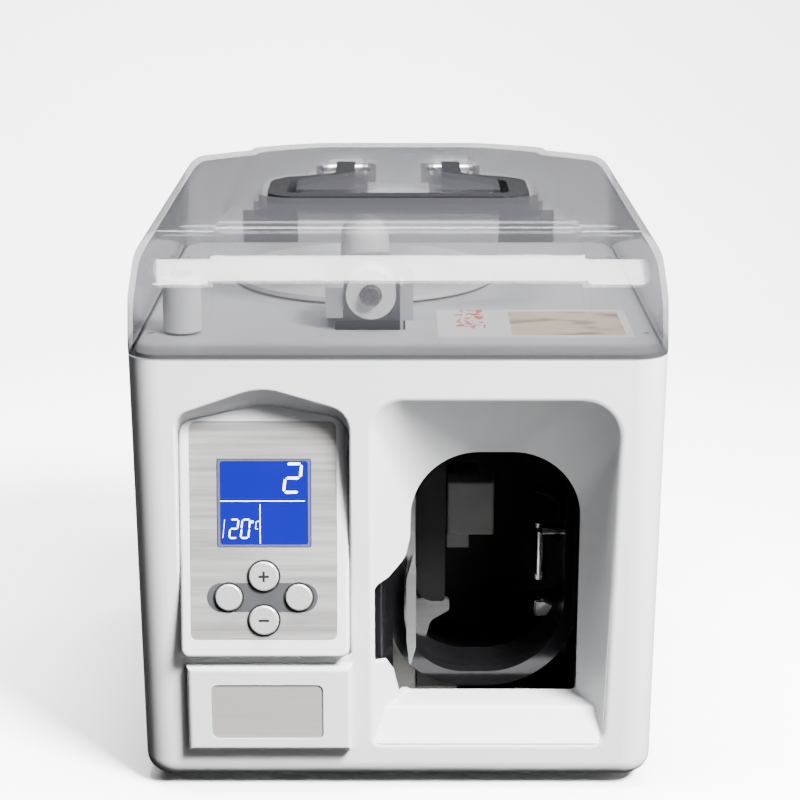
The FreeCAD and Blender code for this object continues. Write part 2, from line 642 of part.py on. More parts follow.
def spindle_pin():
    pin = rod_z(4.0, DECK_Z - DECK_T - 6, TRAY_Z + 18.0, ROLL_X, ROLL_Y)
    flange = rod_z(10.0, DECK_Z, DECK_Z + 1.2, ROLL_X, ROLL_Y)
    nut = rod_z(7.0, DECK_Z - DECK_T - 5, DECK_Z - DECK_T, ROLL_X, ROLL_Y)
    return pin.fuse(flange).fuse(nut)


def guide_sleeve():
    sleeve = rod_z(9.2, DECK_Z + 1.5, DECK_Z + 27.0, POST_X, POST_Y)
    return sleeve.cut(rod_z(2.55, DECK_Z, DECK_Z + 28, POST_X, POST_Y))


def guide_pin():
    pin = rod_z(2.5, DECK_Z - DECK_T - 6, DECK_Z + 27.3, POST_X, POST_Y)
    washer = rod_z(6.0, DECK_Z, DECK_Z + 1.2, POST_X, POST_Y)
    cap = rod_z(5.0, DECK_Z + 27.3, DECK_Z + 29.3, POST_X, POST_Y)
    return pin.fuse(washer).fuse(cap)


ROLLER_X = -13.0
ROLLER_Z = DECK_Z + 18.0
ROLLER_R = 12.0


def guide_roller():
    body = rod_y(ROLLER_R, TAPE_Y0 - 1, TAPE_Y1 + 1, ROLLER_X, ROLLER_Z)
    groove = rod_y(ROLLER_R + 1, TAPE_Y0 + 1, TAPE_Y1 - 1, ROLLER_X, ROLLER_Z)
    groove = groove.cut(rod_y(ROLLER_R - 1.2, TAPE_Y0 + 1, TAPE_Y1 - 1, ROLLER_X, ROLLER_Z))
    return body.cut(groove).cut(rod_y(2.55, TAPE_Y0 - 2, TAPE_Y1 + 2, ROLLER_X, ROLLER_Z))


def roller_screw():
    y0 = TAPE_Y0 - 1
    shank = rod_y(2.5, y0 - 1.6, TAPE_Y1 + 4.6, ROLLER_X, ROLLER_Z)
    washer = rod_y(5.4, y0 - 1.2, y0 - 0.3, ROLLER_X, ROLLER_Z)
    head = rod_y(4.2, y0 - 4.0, y0 - 1.2, ROLLER_X, ROLLER_Z)
    cross_a = box(ROLLER_X - 2.6, ROLLER_X + 2.6, y0 - 5, y0 - 2.4, ROLLER_Z - 0.5, ROLLER_Z + 0.5)
    cross_b = box(ROLLER_X - 0.5, ROLLER_X + 0.5, y0 - 5, y0 - 2.4, ROLLER_Z - 2.6, ROLLER_Z + 2.6)
    return shank.fuse(washer).fuse(head).cut(cross_a).cut(cross_b)


def roller_bracket():
    y0 = TAPE_Y1 + 1.6
    back = prism_y([(SLOT[0] - 4, DECK_Z, 0), (SLOT[1] + 4, DECK_Z, 0), (SLOT[1] + 4, ROLLER_Z + 8, 4),
                    (ROLLER_X + 8, ROLLER_Z + 16, 8), (ROLLER_X - 10, ROLLER_Z + 16, 8),
                    (SLOT[0] - 4, ROLLER_Z + 8, 4)], y0, y0 + 3)
    foot = box(SLOT[0] - 4, SLOT[1] + 4, SLOT[3] + 0.5, SLOT[3] + 12, DECK_Z, DECK_Z + 2)
    link = box(SLOT[0] - 4, SLOT[0] - 0.5, y0, SLOT[3] + 12, DECK_Z, DECK_Z + 14)
    cheek = box(SLOT[1] - 2.5, SLOT[1] - 1.0, SLOT[2] + 0.3, y0 + 1, DECK_Z - 18, ROLLER_Z + 4)
    block = box(SLOT[0] - 4, SLOT[0] + 4.5, TAPE_Y0 + 2, y0, DECK_Z + 6, ROLLER_Z + 3)
    bracket = back.fuse(foot).fuse(link).fuse(cheek).fuse(block)
    right = box(SLOT[1] + 0.5, SLOT[1] + 4, y0, SLOT[3] + 12, DECK_Z, DECK_Z + 14)
    bracket = bracket.fuse(right)
    bracket = bracket.cut(rod_y(ROLLER_R + 1.2, TAPE_Y0 - 5, TAPE_Y1 + 1.5, ROLLER_X, ROLLER_Z))
    return bracket.cut(rod_y(2.5, y0 - 1, y0 + 4, ROLLER_X, ROLLER_Z)).removeSplitter()


def deck_label():
    return prism_z(rect(19, 113, FRONT_Y + 36, FRONT_Y + 92, 1), DECK_Z, DECK_Z + 0.3)


# ---- console ----
def panel_place(shape):
    """Moves a shape drawn with Y up the panel and Z out of it onto the tilted panel."""
    turn = FreeCAD.Rotation(V(1, 0, 0), 90 - PANEL_TILT)
    shape.Placement = FreeCAD.Placement(V(0, PANEL_FOOT_Y, PANEL_FOOT_Z), turn).multiply(shape.Placement)
    return shape


BEZEL_V0 = 4.5
OVERLAY = (-98.0, -29.0, 13.5, 117.5)
LCD = (-85.4, -40.8, 57.6, 100.0)
BUTTONS = {"button_plus": (-63.4, 44.0, 7.0), "button_minus": (-63.4, 22.9, 7.0),
           "button_left": (-80.0, 33.9, 6.3), "button_right": (-46.8, 33.9, 6.3)}
BUTTON_TRAVEL = 1.0


def bezel_corners(inset):
    left = NICHE_L + CLEAR + inset
    right = NICHE_R - CLEAR - inset
    return [(left, BEZEL_V0 + inset, 4), (right, BEZEL_V0 + inset, 4), (right, 120.0 - inset, 10),
            (-63.5, 128.0 - inset, 30), (left, 120.0 - inset, 7)]


def console_bezel():
    skin = panel_place(prism_z(bezel_corners(0), -9.0, 0.0))
    crown = [e for e in skin.Edges if on_panel(e.CenterOfMass, 0.05)]
    skin = skin.makeFillet(BEZEL_EDGE_R, crown)
    hollow = panel_place(prism_z(bezel_corners(SKIN), -20.0, -SKIN))
    skin = skin.cut(hollow)
    skin = skin.cut(panel_place(prism_z(rect(OVERLAY[0] - 0.2, OVERLAY[1] + 0.2, OVERLAY[2] - 0.2,
                                             OVERLAY[3] + 0.2, 3), -0.4, 1.0)))
    skin = skin.cut(panel_place(prism_z(rect(*LCD, 1), -5.0, 1.0)))
    for u, v, r in BUTTONS.values():
        skin = skin.cut(panel_place(rod_z(r + 0.2, -5.0, 1.0, u, v)))
    return skin.cut(hood_space())


def on_panel(point, near):
    a = math.radians(PANEL_TILT)
    out = -(point.y - PANEL_FOOT_Y) * math.cos(a) + (point.z - PANEL_FOOT_Z) * math.sin(a)
    return abs(out) < near


def panel_overlay():
    sheet = prism_z(rect(*OVERLAY, 3), -0.4, 0.1)
    sheet = sheet.cut(prism_z(rect(*LCD, 1), -1, 1))
    for u, v, r in BUTTONS.values():
        sheet = sheet.cut(rod_z(r + 0.2, -1, 1, u, v))
    return panel_place(sheet)


def lcd_module():
    glass = prism_z(rect(LCD[0] + 0.3, LCD[1] - 0.3, LCD[2] + 0.3, LCD[3] - 0.3, 0.8), -SKIN, -0.1)
    back = prism_z(rect(LCD[0] - 3, LCD[1] + 3, LCD[2] - 3, LCD[3] + 3, 1), -SKIN - 4.0, -SKIN)
    return panel_place(glass.fuse(back))


def panel_button(name):
    u, v, r = BUTTONS[name]
    cap = rod_z(r, -2.3, 1.9, u, v)
    cap = cap.makeFillet(0.9, [e for e in cap.Edges if e.CenterOfMass.z > 1.8])
    flange = rod_z(r + 0.9, -SKIN - 1.0, -SKIN - 0.05, u, v)
    neck = rod_z(r - 0.2, -SKIN - 0.5, -2.3, u, v)
    stem = rod_z(1.6, -SKIN - 2.4, -SKIN - 1.0, u, v)
    return panel_place(cap.fuse([neck, flange, stem]).removeSplitter())


BOARD_W = -SKIN - 7.5


def control_board():
    board = prism_z(rect(-97, -29, 10, 112, 1), BOARD_W - 1.6, BOARD_W)
    chips = [prism_z(rect(-92, -76, 60, 76, 0), BOARD_W - 4, BOARD_W - 1.6),
             prism_z(rect(-60, -40, 70, 80, 0), BOARD_W - 5, BOARD_W - 1.6)]
    for u, v, r in BUTTONS.values():
        chips.append(prism_z(rect(u - 3, u + 3, v - 3, v + 3, 0), BOARD_W, -SKIN - 3.5))
    lugs = [rod_z(2.5, BOARD_W, -SKIN - 0.01, u, v) for u in (-94.0, -32.0) for v in (13.0, 109.0)]
    return panel_place(board.fuse(chips + lugs))


def name_plate():
    inset = 0.25
    corners = rect(PLATE[0] + inset, PLATE[1] - inset, PLATE[2] + inset, PLATE[3] - inset, 2.8)
    return prism_y(corners, BLOCK_Y + PLATE_POCKET - 1.0, BLOCK_Y + PLATE_POCKET)


# ---- throat and tape track ----
LINER_Y0 = FRONT_Y + 40.0
LINER_Y1 = TAPE_Y0 - 0.5
TRACK_Y0 = TAPE_Y0
TRACK_Y1 = TAPE_Y1 + 2.0
TRACK_L = 3.0            # inside of the loop that the tape makes
TRACK_R = 82.2
TRACK_LOW = DATUM_Z + 33.3
TRACK_HIGH = DATUM_Z + 158.0
TRACK_T = 2.5


def loop_corners(grow, high):
    return [(TRACK_L - grow, TRACK_LOW - grow, 30 + grow), (TRACK_R + grow, TRACK_LOW - grow, 38 + grow),
            (TRACK_R + grow, high + grow, 30 + grow), (TRACK_L - grow, high + grow, 4 + grow)]


def throat_liner():
    """Glossy U-shaped guard behind the throat, open at the top: a front cheek and a short wall behind it."""
    high = DATUM_Z + 190.0
    cheek = prism_y(loop_corners(7.5, high), LINER_Y0, LINER_Y0 + 2.5)
    wall = prism_y(loop_corners(1.5, high), LINER_Y0, LINER_Y1)
    liner = cheek.fuse(wall).cut(prism_y(loop_corners(0, high), LINER_Y0 - 1, LINER_Y1 + 1))
    liner = liner.cut(box(-40, 30, LINER_Y0 - 1, LINER_Y1 + 1, DATUM_Z + 99, high + 40))
    liner = liner.cut(box(20, 140, LINER_Y0 - 1, LINER_Y1 + 1, DATUM_Z + 141, high + 40))
    return liner.removeSplitter()


def tape_track():
    """Band that leads the tape down, under the throat, up the right side and back over the top."""
    outer = prism_y(loop_corners(TRACK_T, TRACK_HIGH), TRACK_Y0, TRACK_Y1)
    band = outer.cut(prism_y(loop_corners(0, TRACK_HIGH), TRACK_Y0 - 1, TRACK_Y1 + 1))
    gate = box(-20, 9.0, TRACK_Y0 - 1, TRACK_Y1 + 1, DATUM_Z + 48, TRACK_HIGH + 10)
    foot = box(30, 60, TRACK_Y0 + 3, TRACK_Y1 - 3, PLATE_Z, TRACK_LOW - TRACK_T + 0.2)
    post = box(TRACK_R + 0.5, TRACK_R + 9.1, TRACK_Y1 - 3, TRACK_Y1, DATUM_Z + 90, DATUM_Z + 110)
    return band.cut(gate).fuse(foot).fuse(post).removeSplitter()


ANVIL_X = 4.2
ANVIL_T = 4.6


def press_anvil():
    """Leaf-shaped steel plate that the banknotes and the sealing head press against."""
    z0 = DATUM_Z + 38.5
    z1 = DATUM_Z + 98.5
    leaf = [(ANVIL_X + 1.6, z0, 0.4), (ANVIL_X + ANVIL_T, z0 + 11, 6), (ANVIL_X + ANVIL_T, z1 - 10, 6),
            (ANVIL_X + 3.4, z1, 0.4), (ANVIL_X, z1 - 13, 5), (ANVIL_X, z0 + 14, 5)]
    front = prism_y(leaf, FRONT_Y + 33.0, LINER_Y0 - 0.3)
    plate = box(ANVIL_X + 0.4, ANVIL_X + 3.6, LINER_Y0 - 0.4, FRAME_Y, DATUM_Z + 58, DATUM_Z + 95)
    return front.fuse(plate).removeSplitter()


def head_guard():
    """Convex glossy cover behind the thumb notch, in front of the sealing head."""
    curve = [(-16.5, FRONT_Y + 4.2, 0.8), (-14.6, FRONT_Y + 4.2, 0.8), (-8.0, FRONT_Y + 17, 20),
             (-2.4, FRONT_Y + 39.4, 0.6), (-5.0, FRONT_Y + 39.4, 0.6), (-10.6, FRONT_Y + 18, 18),
             (-16.5, FRONT_Y + 8, 0.8)]
    return prism_z(curve, DATUM_Z + 34.0, DATUM_Z + 106.0)


def chamber_bulkhead():
    y0 = FRONT_Y + 157.0
    wall = box(-112, 112, y0, y0 + 1.5, PLATE_Z, DECK_Z - DECK_T - 12)
    flange = box(-112, 112, y0, y0 + 14, PLATE_Z, PLATE_Z + 1.5)
    return wall.fuse(flange)


FIN_Z = (DATUM_Z + 109.0, DATUM_Z + 88.0, DATUM_Z + 51.0)  # undersides of the bracket's shelves


def track_bracket():
    """Right-hand support of the track, with three triangular shelves."""
    x1 = THROAT_R + 3.0
    y0 = TRACK_Y1 + 1.0
    y1 = FRONT_Y + 132.0
    z0 = PLATE_Z
    wall = box(x1 - 4, x1, y0, y1, z0, DATUM_Z + 142)
    foot = box(x1 - 22, x1, y0 + 8, y1, z0, z0 + 3)
    bracket = wall.fuse(foot)
    for z in FIN_Z:
        fin = prism_z([(x1 - 3.9, y0 + 1, 0), (x1 - 3.9, y0 + 34, 0), (x1 - 24, y0 + 30, 1)], z, z + 1.6)
        bracket = bracket.fuse(fin)
    bracket = bracket.cut(rod_z(2.05, FIN_Z[1] - 1, FIN_Z[1] + 3, x1 - 17, y0 + 26))
    return bracket.removeSplitter()


def bracket_hardware():
    """Cross pin over the middle shelf, the guide rod under it and the nut block under the lowest shelf."""
    pin = rod_x(1.8, THROAT_R - 14, THROAT_R - 1.0, TRACK_Y1 + 14, FIN_Z[1] + 3.6)
    x = THROAT_R - 11.0
    z1 = FIN_Z[2]
    block = box(x - 6, x + 7, TRACK_Y1 + 20, TRACK_Y1 + 31, z1 - 9, z1)
    rod_at = (THROAT_R + 3.0 - 17, TRACK_Y1 + 27.0)
    rod = rod_z(2.0, FIN_Z[1] - 24, FIN_Z[1] + 2.6, *rod_at)
    rod = rod.fuse([rod_z(3.2, FIN_Z[1] - 27, FIN_Z[1] - 24, *rod_at),
                    rod_z(3.2, FIN_Z[1] + 1.7, FIN_Z[1] + 4.2, *rod_at)])
    return group([pin, rod, block.makeFillet(1.0, block.Edges)])


def head_base():
    """Cast floor behind the track that carries the frame plate and the sensors."""
    base = box(10, 68, TRACK_Y1 + 28, FRONT_Y + 154, PLATE_Z, DATUM_Z + 14)
    return base.makeFillet(1.5, edges_where(base, lambda p: p.z > DATUM_Z + 13.9))


def tape_sensor():
    block = box(25.5, 50, FRONT_Y + 100, FRONT_Y + 118, DATUM_Z + 84, DATUM_Z + 113)
    block = block.makeFillet(1.2, block.Edges)
    post = box(30, 43, FRONT_Y + 118, FRONT_Y + 157, DATUM_Z + 90, DATUM_Z + 106)
    board = box(25.5, 37, FRONT_Y + 102, FRONT_Y + 116, DATUM_Z + 76.5, DATUM_Z + 83.9)
    return group([block.fuse(post), board])


def head_cover():
    """Dark rounded cover over the drive end of the sealing head."""
    shell = prism_y([(9.5, DATUM_Z + 49, 9), (24.5, DATUM_Z + 49, 2), (24.5, DATUM_Z + 128, 3),
                     (9.5, DATUM_Z + 128, 3)],
                    FRONT_Y + 95, FRONT_Y + 140)
    inner = prism_y([(11.5, DATUM_Z + 51, 7), (22.5, DATUM_Z + 51, 1), (22.5, DATUM_Z + 126, 1),
                     (11.5, DATUM_Z + 126, 1)],
                    FRONT_Y + 97, FRONT_Y + 141)
    foot = box(9.5, 24.5, FRONT_Y + 140, FRONT_Y + 157, DATUM_Z + 120, DATUM_Z + 128)
    return shell.cut(inner).fuse(foot)


def hook_plate():
    hook = prism_y([(9.5, DATUM_Z + 22, 1), (14.5, DATUM_Z + 26, 3), (17.0, DATUM_Z + 36, 6),
                    (27.0, DATUM_Z + 42, 2), (27.0, DATUM_Z + 48.7, 2.5), (9.5, DATUM_Z + 48.7, 1)],
                   FRONT_Y + 100, FRONT_Y + 103)
    post = box(9.5, 13.5, FRONT_Y + 103, FRONT_Y + 125, DATUM_Z + 14, DATUM_Z + 40)
    foot = box(9.5, 13.5, FRONT_Y + 100, FRONT_Y + 125, DATUM_Z + 14, DATUM_Z + 25)
    return hook.fuse(post).fuse(foot)


# ---- mechanism ----
FEED_X = -16.3
FEED_Z = DATUM_Z + 178.0
FEED_R = 12.0
PINCH_R = 8.0
PINCH_X = FEED_X + FEED_R + CLEAR + PINCH_R
SHAFT_R = 3.0
GEAR_MODULE = 1.0
FEED_TEETH = 40
PINION_TEETH = 16
MOTOR_X = FEED_X - GEAR_MODULE * (FEED_TEETH + PINION_TEETH) / 2
GEAR_Y0 = FRAME_Y + FRAME_T + 2.0
GEAR_W = 6.0
MOTOR_R = 13.5


def gear(teeth, x, z, y0, width, phase):
    """Spur gear on a Y axis with plain straight-sided teeth and some backlash."""
    pitch_r = GEAR_MODULE * teeth / 2
    root_r = pitch_r - 1.2 * GEAR_MODULE
    tip_r = pitch_r + 0.9 * GEAR_MODULE
    step = 360.0 / teeth
    wheel = rod_y(root_r, y0, y0 + width, x, z)
    half_root = 0.30 * step
    half_tip = 0.13 * step
    parts = []
    for i in range(teeth):
        a = phase + i * step
        pts = [polar(x, z, root_r - 0.3, a - half_root), polar(x, z, tip_r, a - half_tip),
               polar(x, z, tip_r, a + half_tip), polar(x, z, root_r - 0.3, a + half_root)]
        wire = Part.makePolygon([V(u, y0, v) for u, v in pts + pts[:1]])
        parts.append(Part.Face(wire).extrude(V(0, width, 0)))
    return wheel.fuse(parts).removeSplitter()


def polar(x, z, r, degrees):
    a = math.radians(degrees)
    return x + r * math.cos(a), z + r * math.sin(a)


def feed_roller():
    core = rod_y(FEED_R - 2.5, TAPE_Y0, TAPE_Y1, FEED_X, FEED_Z)
    shaft = rod_y(SHAFT_R, TAPE_Y0 - 2, GEAR_Y0 + GEAR_W + 2, FEED_X, FEED_Z)
    return core.fuse(shaft).removeSplitter()


def feed_tyre():
    ring = rod_y(FEED_R, TAPE_Y0, TAPE_Y1, FEED_X, FEED_Z)
    return ring.cut(rod_y(FEED_R - 2.5, TAPE_Y0 - 1, TAPE_Y1 + 1, FEED_X, FEED_Z))


def feed_gear():
    wheel = gear(FEED_TEETH, FEED_X, FEED_Z, GEAR_Y0, GEAR_W, 0.0)
    return wheel.cut(rod_y(SHAFT_R, GEAR_Y0 - 1, GEAR_Y0 + GEAR_W + 1, FEED_X, FEED_Z))


def feed_pinion():
    phase = 180.0 / PINION_TEETH
    wheel = gear(PINION_TEETH, MOTOR_X, FEED_Z, GEAR_Y0, GEAR_W, phase)
    shaft = rod_y(2.0, FRAME_Y - 6, GEAR_Y0 + GEAR_W + 1, MOTOR_X, FEED_Z)
    return wheel.fuse(shaft).removeSplitter()


def pinch_roller():
    roller = rod_y(PINCH_R, TAPE_Y0, TAPE_Y1, PINCH_X, FEED_Z)
    return roller.cut(rod_y(2.05, TAPE_Y0 - 1, TAPE_Y1 + 1, PINCH_X, FEED_Z))


def pinch_axle():
    axle = rod_y(2.0, TAPE_Y0 - 1.2, FRAME_Y + FRAME_T, PINCH_X, FEED_Z)
    clip = rod_y(4.0, TAPE_Y0 - 2.2, TAPE_Y0 - 0.4, PINCH_X, FEED_Z)
    collar = rod_y(4.0, TAPE_Y1 + 0.4, FRAME_Y, PINCH_X, FEED_Z)
    return axle.fuse(clip).fuse(collar)


def motor(x, z, y0, y1, shaft_r, inner_end):
    """Small can motor on a Y axis with a bore for its shaft at one end."""
    can = rod_y(MOTOR_R, y0, y1, x, z)
    can = can.makeFillet(1.2, [e for e in can.Edges if e.Length > 60])
    return can.cut(rod_y(shaft_r + 0.05, inner_end[0], inner_end[1], x, z))


def feed_motor():
    return motor(MOTOR_X, FEED_Z, FRONT_Y + 33, FRAME_Y, 2.0, (FRAME_Y - 7, FRAME_Y + 1))


CARRIAGE = (-58.0, -16.0, DATUM_Z + 50.0, DATUM_Z + 92.0)
CARRIAGE_TRAVEL = 6.0
RACK_TEETH = 14
RACK_X = -40.0
RACK_PITCH_Z = CARRIAGE[2] - 1.2
PINION_Z = RACK_PITCH_Z - GEAR_MODULE * RACK_TEETH / 2
RACK_Y0 = TAPE_Y1 - 8.0
RAIL_R = 3.0
RAIL_YS = (TAPE_Y0 + 5.0, TAPE_Y1 - 3.0)
RAIL_Z = CARRIAGE[3] - 4.0
TOOLS = {"press_pad": (DATUM_Z + 57.0, DATUM_Z + 66.0), "heater_block": (DATUM_Z + 67.5, DATUM_Z + 77.0),
         "cutter_blade": (DATUM_Z + 78.5, DATUM_Z + 82.5)}
TOOL_TRAVEL = 2.0
TOOL_X1 = -3.0
TOOL_YS = (TAPE_Y0, TAPE_Y1)


def head_carriage():
    x0, x1, z0, z1 = CARRIAGE
    block = box(x0, x1, TAPE_Y0, TAPE_Y1 + 1, z0, z1)
    for y in RAIL_YS:
        block = block.cut(rod_x(RAIL_R + 0.05, x0 - 1, x1 + 1, y, RAIL_Z))
    for za, zb in TOOLS.values():
        for y in (TAPE_Y0 + 5, TAPE_Y1 - 5):
            block = block.cut(rod_x(1.55, x1 - 14, x1 + 1, y, (za + zb) / 2))
    step = math.pi * GEAR_MODULE
    low = box(x0, x1, RACK_Y0, RACK_Y0 + 8, z0 - 0.2, z0 + 1)
    block = block.fuse(low)
    teeth = []
    first = math.ceil((x0 + 2 - RACK_X) / step - 0.5)
    last = math.floor((x1 - 2 - RACK_X) / step - 0.5)
    for i in range(first, last + 1):
        x = RACK_X + (i + 0.5) * step
        top = 0.28 * step
        tip = 0.12 * step
        pts = [(x - top, z0), (x - tip, RACK_PITCH_Z - 0.9), (x + tip, RACK_PITCH_Z - 0.9), (x + top, z0)]
        wire = Part.makePolygon([V(u, RACK_Y0, v) for u, v in pts + pts[:1]])
        teeth.append(Part.Face(wire).extrude(V(0, 8, 0)))
    return block.fuse(teeth).removeSplitter()


def head_pinion():
    wheel = gear(RACK_TEETH, RACK_X, PINION_Z, RACK_Y0, 8.0, 90.0)
    shaft = rod_y(2.0, RACK_Y0 - 2, FRAME_Y + FRAME_T + 7, RACK_X, PINION_Z)
    return wheel.fuse(shaft).removeSplitter()


def head_motor():
    y0 = FRAME_Y + FRAME_T
    return motor(RACK_X, PINION_Z, y0, y0 + 48, 2.0, (y0 - 1, y0 + 8))


def head_tool(name, nose):
    """Sprung tool on two guide stems that slide in the carriage."""
    za, zb = TOOLS[name]
    body = box(TOOL_X1 - 7, TOOL_X1 - nose, TOOL_YS[0], TOOL_YS[1], za, zb)
    stems = [rod_x(1.5, CARRIAGE[1] - 10, TOOL_X1 - 6.9, y, (za + zb) / 2) for y in (TAPE_Y0 + 5,
                                                                                     TAPE_Y1 - 5)]
    return body, stems


def press_pad():
    body, stems = head_tool("press_pad", 0)
    za, zb = TOOLS["press_pad"]
    for i in range(4):
        z = za + 1.5 + i * 2.2
        body = body.cut(box(TOOL_X1 - 0.6, TOOL_X1 + 1, TOOL_YS[0] - 1, TOOL_YS[1] + 1, z, z + 0.8))
    return body.fuse(stems)


def heater_block():
    body, stems = head_tool("heater_block", 0)
    za, zb = TOOLS["heater_block"]
    cartridge = rod_y(2.4, TAPE_Y0 + 1, TAPE_Y1 + 2.5, TOOL_X1 - 4.0, (za + zb) / 2)
    return body.fuse(stems).fuse(cartridge)


def cutter_blade():
    body, stems = head_tool("cutter_blade", 4)
    za, zb = TOOLS["cutter_blade"]
    mid = (za + zb) / 2
    edge = [(TOOL_X1 - 5, mid - 0.5, 0), (TOOL_X1 - 0.8, mid - 0.5, 0), (TOOL_X1 + 0.2, mid + 0.4, 0),
            (TOOL_X1 - 5, mid + 0.5, 0)]
    blade = prism_y(edge, TAPE_Y0 + 0.5, TAPE_Y1 - 0.5)
    return body.fuse(stems).fuse(blade)


def head_rails():
    """Two round rails and the end blocks that hold them on the frame plate."""
    blocks = [rod_x(RAIL_R, -76.0, -5.0, y, RAIL_Z) for y in RAIL_YS]
    for x0, x1 in ((-76.0, -66.0), (-9.0, -5.0)):
        block = box(x0, x1, TAPE_Y0, FRAME_Y, RAIL_Z - 4.4, RAIL_Z + 4.4)
        for y in RAIL_YS:
            block = block.cut(rod_x(RAIL_R, x0 - 1, x1 + 1, y, RAIL_Z))
        blocks.append(block)
    return group(blocks)


def head_frame():
    """Steel plate behind the tape path that carries the shafts, motors and rails."""
    z0 = PLATE_Z
    plate = prism_y([(-108, z0, 0), (8.8, z0, 0), (8.8, DATUM_Z + 150, 0), (16, DATUM_Z + 158, 2),
                     (16, DATUM_Z + 195, 3),
                     (-108, DATUM_Z + 195, 4)], FRAME_Y, FRAME_Y + FRAME_T)
    foot = box(-108, 8.8, FRAME_Y + FRAME_T, FRAME_Y + 16, z0, z0 + 3)
    plate = plate.fuse(foot)
    plate = plate.cut(rod_y(SHAFT_R + 0.05, FRAME_Y - 1, FRAME_Y + 5, FEED_X, FEED_Z))
    plate = plate.cut(rod_y(2.05, FRAME_Y - 1, FRAME_Y + 5, MOTOR_X, FEED_Z))
    plate = plate.cut(rod_y(2.0, FRAME_Y - 1, FRAME_Y + 5, PINCH_X, FEED_Z))
    plate = plate.cut(rod_y(2.05, FRAME_Y - 1, FRAME_Y + 5, RACK_X, PINION_Z))
    return plate.removeSplitter()


# ---- electrics ----
def power_supply():
    base = PLATE_Z
    core = box(-95, -35, FRONT_Y + 180, FRONT_Y + 235, base + 4, base + 54)
    coil = box(-83, -47, FRONT_Y + 176, FRONT_Y + 239, base + 12, base + 46)
    foot = box(-103, -27, FRONT_Y + 195, FRONT_Y + 220, base, base + 4)
    return core.fuse(coil).fuse(foot)


def drive_board():
    base = PLATE_Z
    board = box(-5, 95, FRONT_Y + 172.5 + 8, FRONT_Y + 174 + 8, base + 12, base + 92)
    posts = [rod_y(3.0, FRONT_Y + 158.5, FRONT_Y + 180.5, x, z) for x in (0.0, 90.0)
             for z in (base + 17, base + 87)]
    parts = [box(10, 30, FRONT_Y + 182, FRONT_Y + 204, base + 20, base + 45),
             box(45, 60, FRONT_Y + 182, FRONT_Y + 194, base + 55, base + 80),
             rod_y(7.0, FRONT_Y + 182, FRONT_Y + 204, 78, base + 45)]
    return board.fuse(posts + parts)


def power_inlet():
    """Three-pin inlet for a detachable mains lead, in the rear cover."""
    flange = prism_y(rect(INLET_X - 20, INLET_X + 20, INLET_Z - 12, INLET_Z + 12, 3), BACK_Y - 0.2,
                     BACK_Y + 2.0)
    body = box(INLET_X - 14, INLET_X + 14, BACK_Y - 20, BACK_Y, INLET_Z - 10, INLET_Z + 10)
    inlet = flange.fuse(body)
    well = prism_y([(INLET_X - 12, INLET_Z - 8, 2), (INLET_X + 12, INLET_Z - 8, 2),
                    (INLET_X + 12, INLET_Z + 4, 2),
                    (INLET_X + 8, INLET_Z + 8, 1), (INLET_X - 8, INLET_Z + 8, 1), (INLET_X - 12,
                                                                                   INLET_Z + 4, 2)],
                   BACK_Y - 16, BACK_Y + 3)
    inlet = inlet.cut(well)
    for x, z in ((-7, -1), (7, -1), (0, 3)):
        inlet = inlet.fuse(box(INLET_X + x - 1, INLET_X + x + 1, BACK_Y - 17, BACK_Y - 3,
                               INLET_Z + z - 2, INLET_Z + z + 2))
    return inlet


ROCKER_TILT = 8.0        # the rocker rests in its off position


def switch_frame():
    frame = prism_y(rect(SWITCH_X - 8.5, SWITCH_X + 8.5, INLET_Z - 12, INLET_Z + 12, 1.5), BACK_Y - 0.2,
                    BACK_Y + 1.4)
    body = box(SWITCH_X - 6.5, SWITCH_X + 6.5, BACK_Y - 18, BACK_Y, INLET_Z - 9.5, INLET_Z + 9.5)
    well = box(SWITCH_X - 5.3, SWITCH_X + 5.3, BACK_Y - 12, BACK_Y + 3, INLET_Z - 8.6, INLET_Z + 8.6)
    return frame.fuse(body).cut(well)


def power_rocker():
    """Rocker with two sloping faces that tips about a pin across the switch."""
    y = BACK_Y - 4.0
    profile = [(y - 3, INLET_Z - 3, 1), (y + 2.4, INLET_Z - 7.4, 0.8), (y + 6.4, INLET_Z - 7.4, 0.8),
               (y + 4.6, INLET_Z, 3), (y + 6.4, INLET_Z + 7.4, 0.8), (y + 2.4, INLET_Z + 7.4, 0.8),
               (y - 3, INLET_Z + 3, 1)]
    rocker = prism_x(profile, SWITCH_X - 5.0, SWITCH_X + 5.0)
    rocker.rotate(V(SWITCH_X, y, INLET_Z), V(1, 0, 0), ROCKER_TILT)
    return rocker


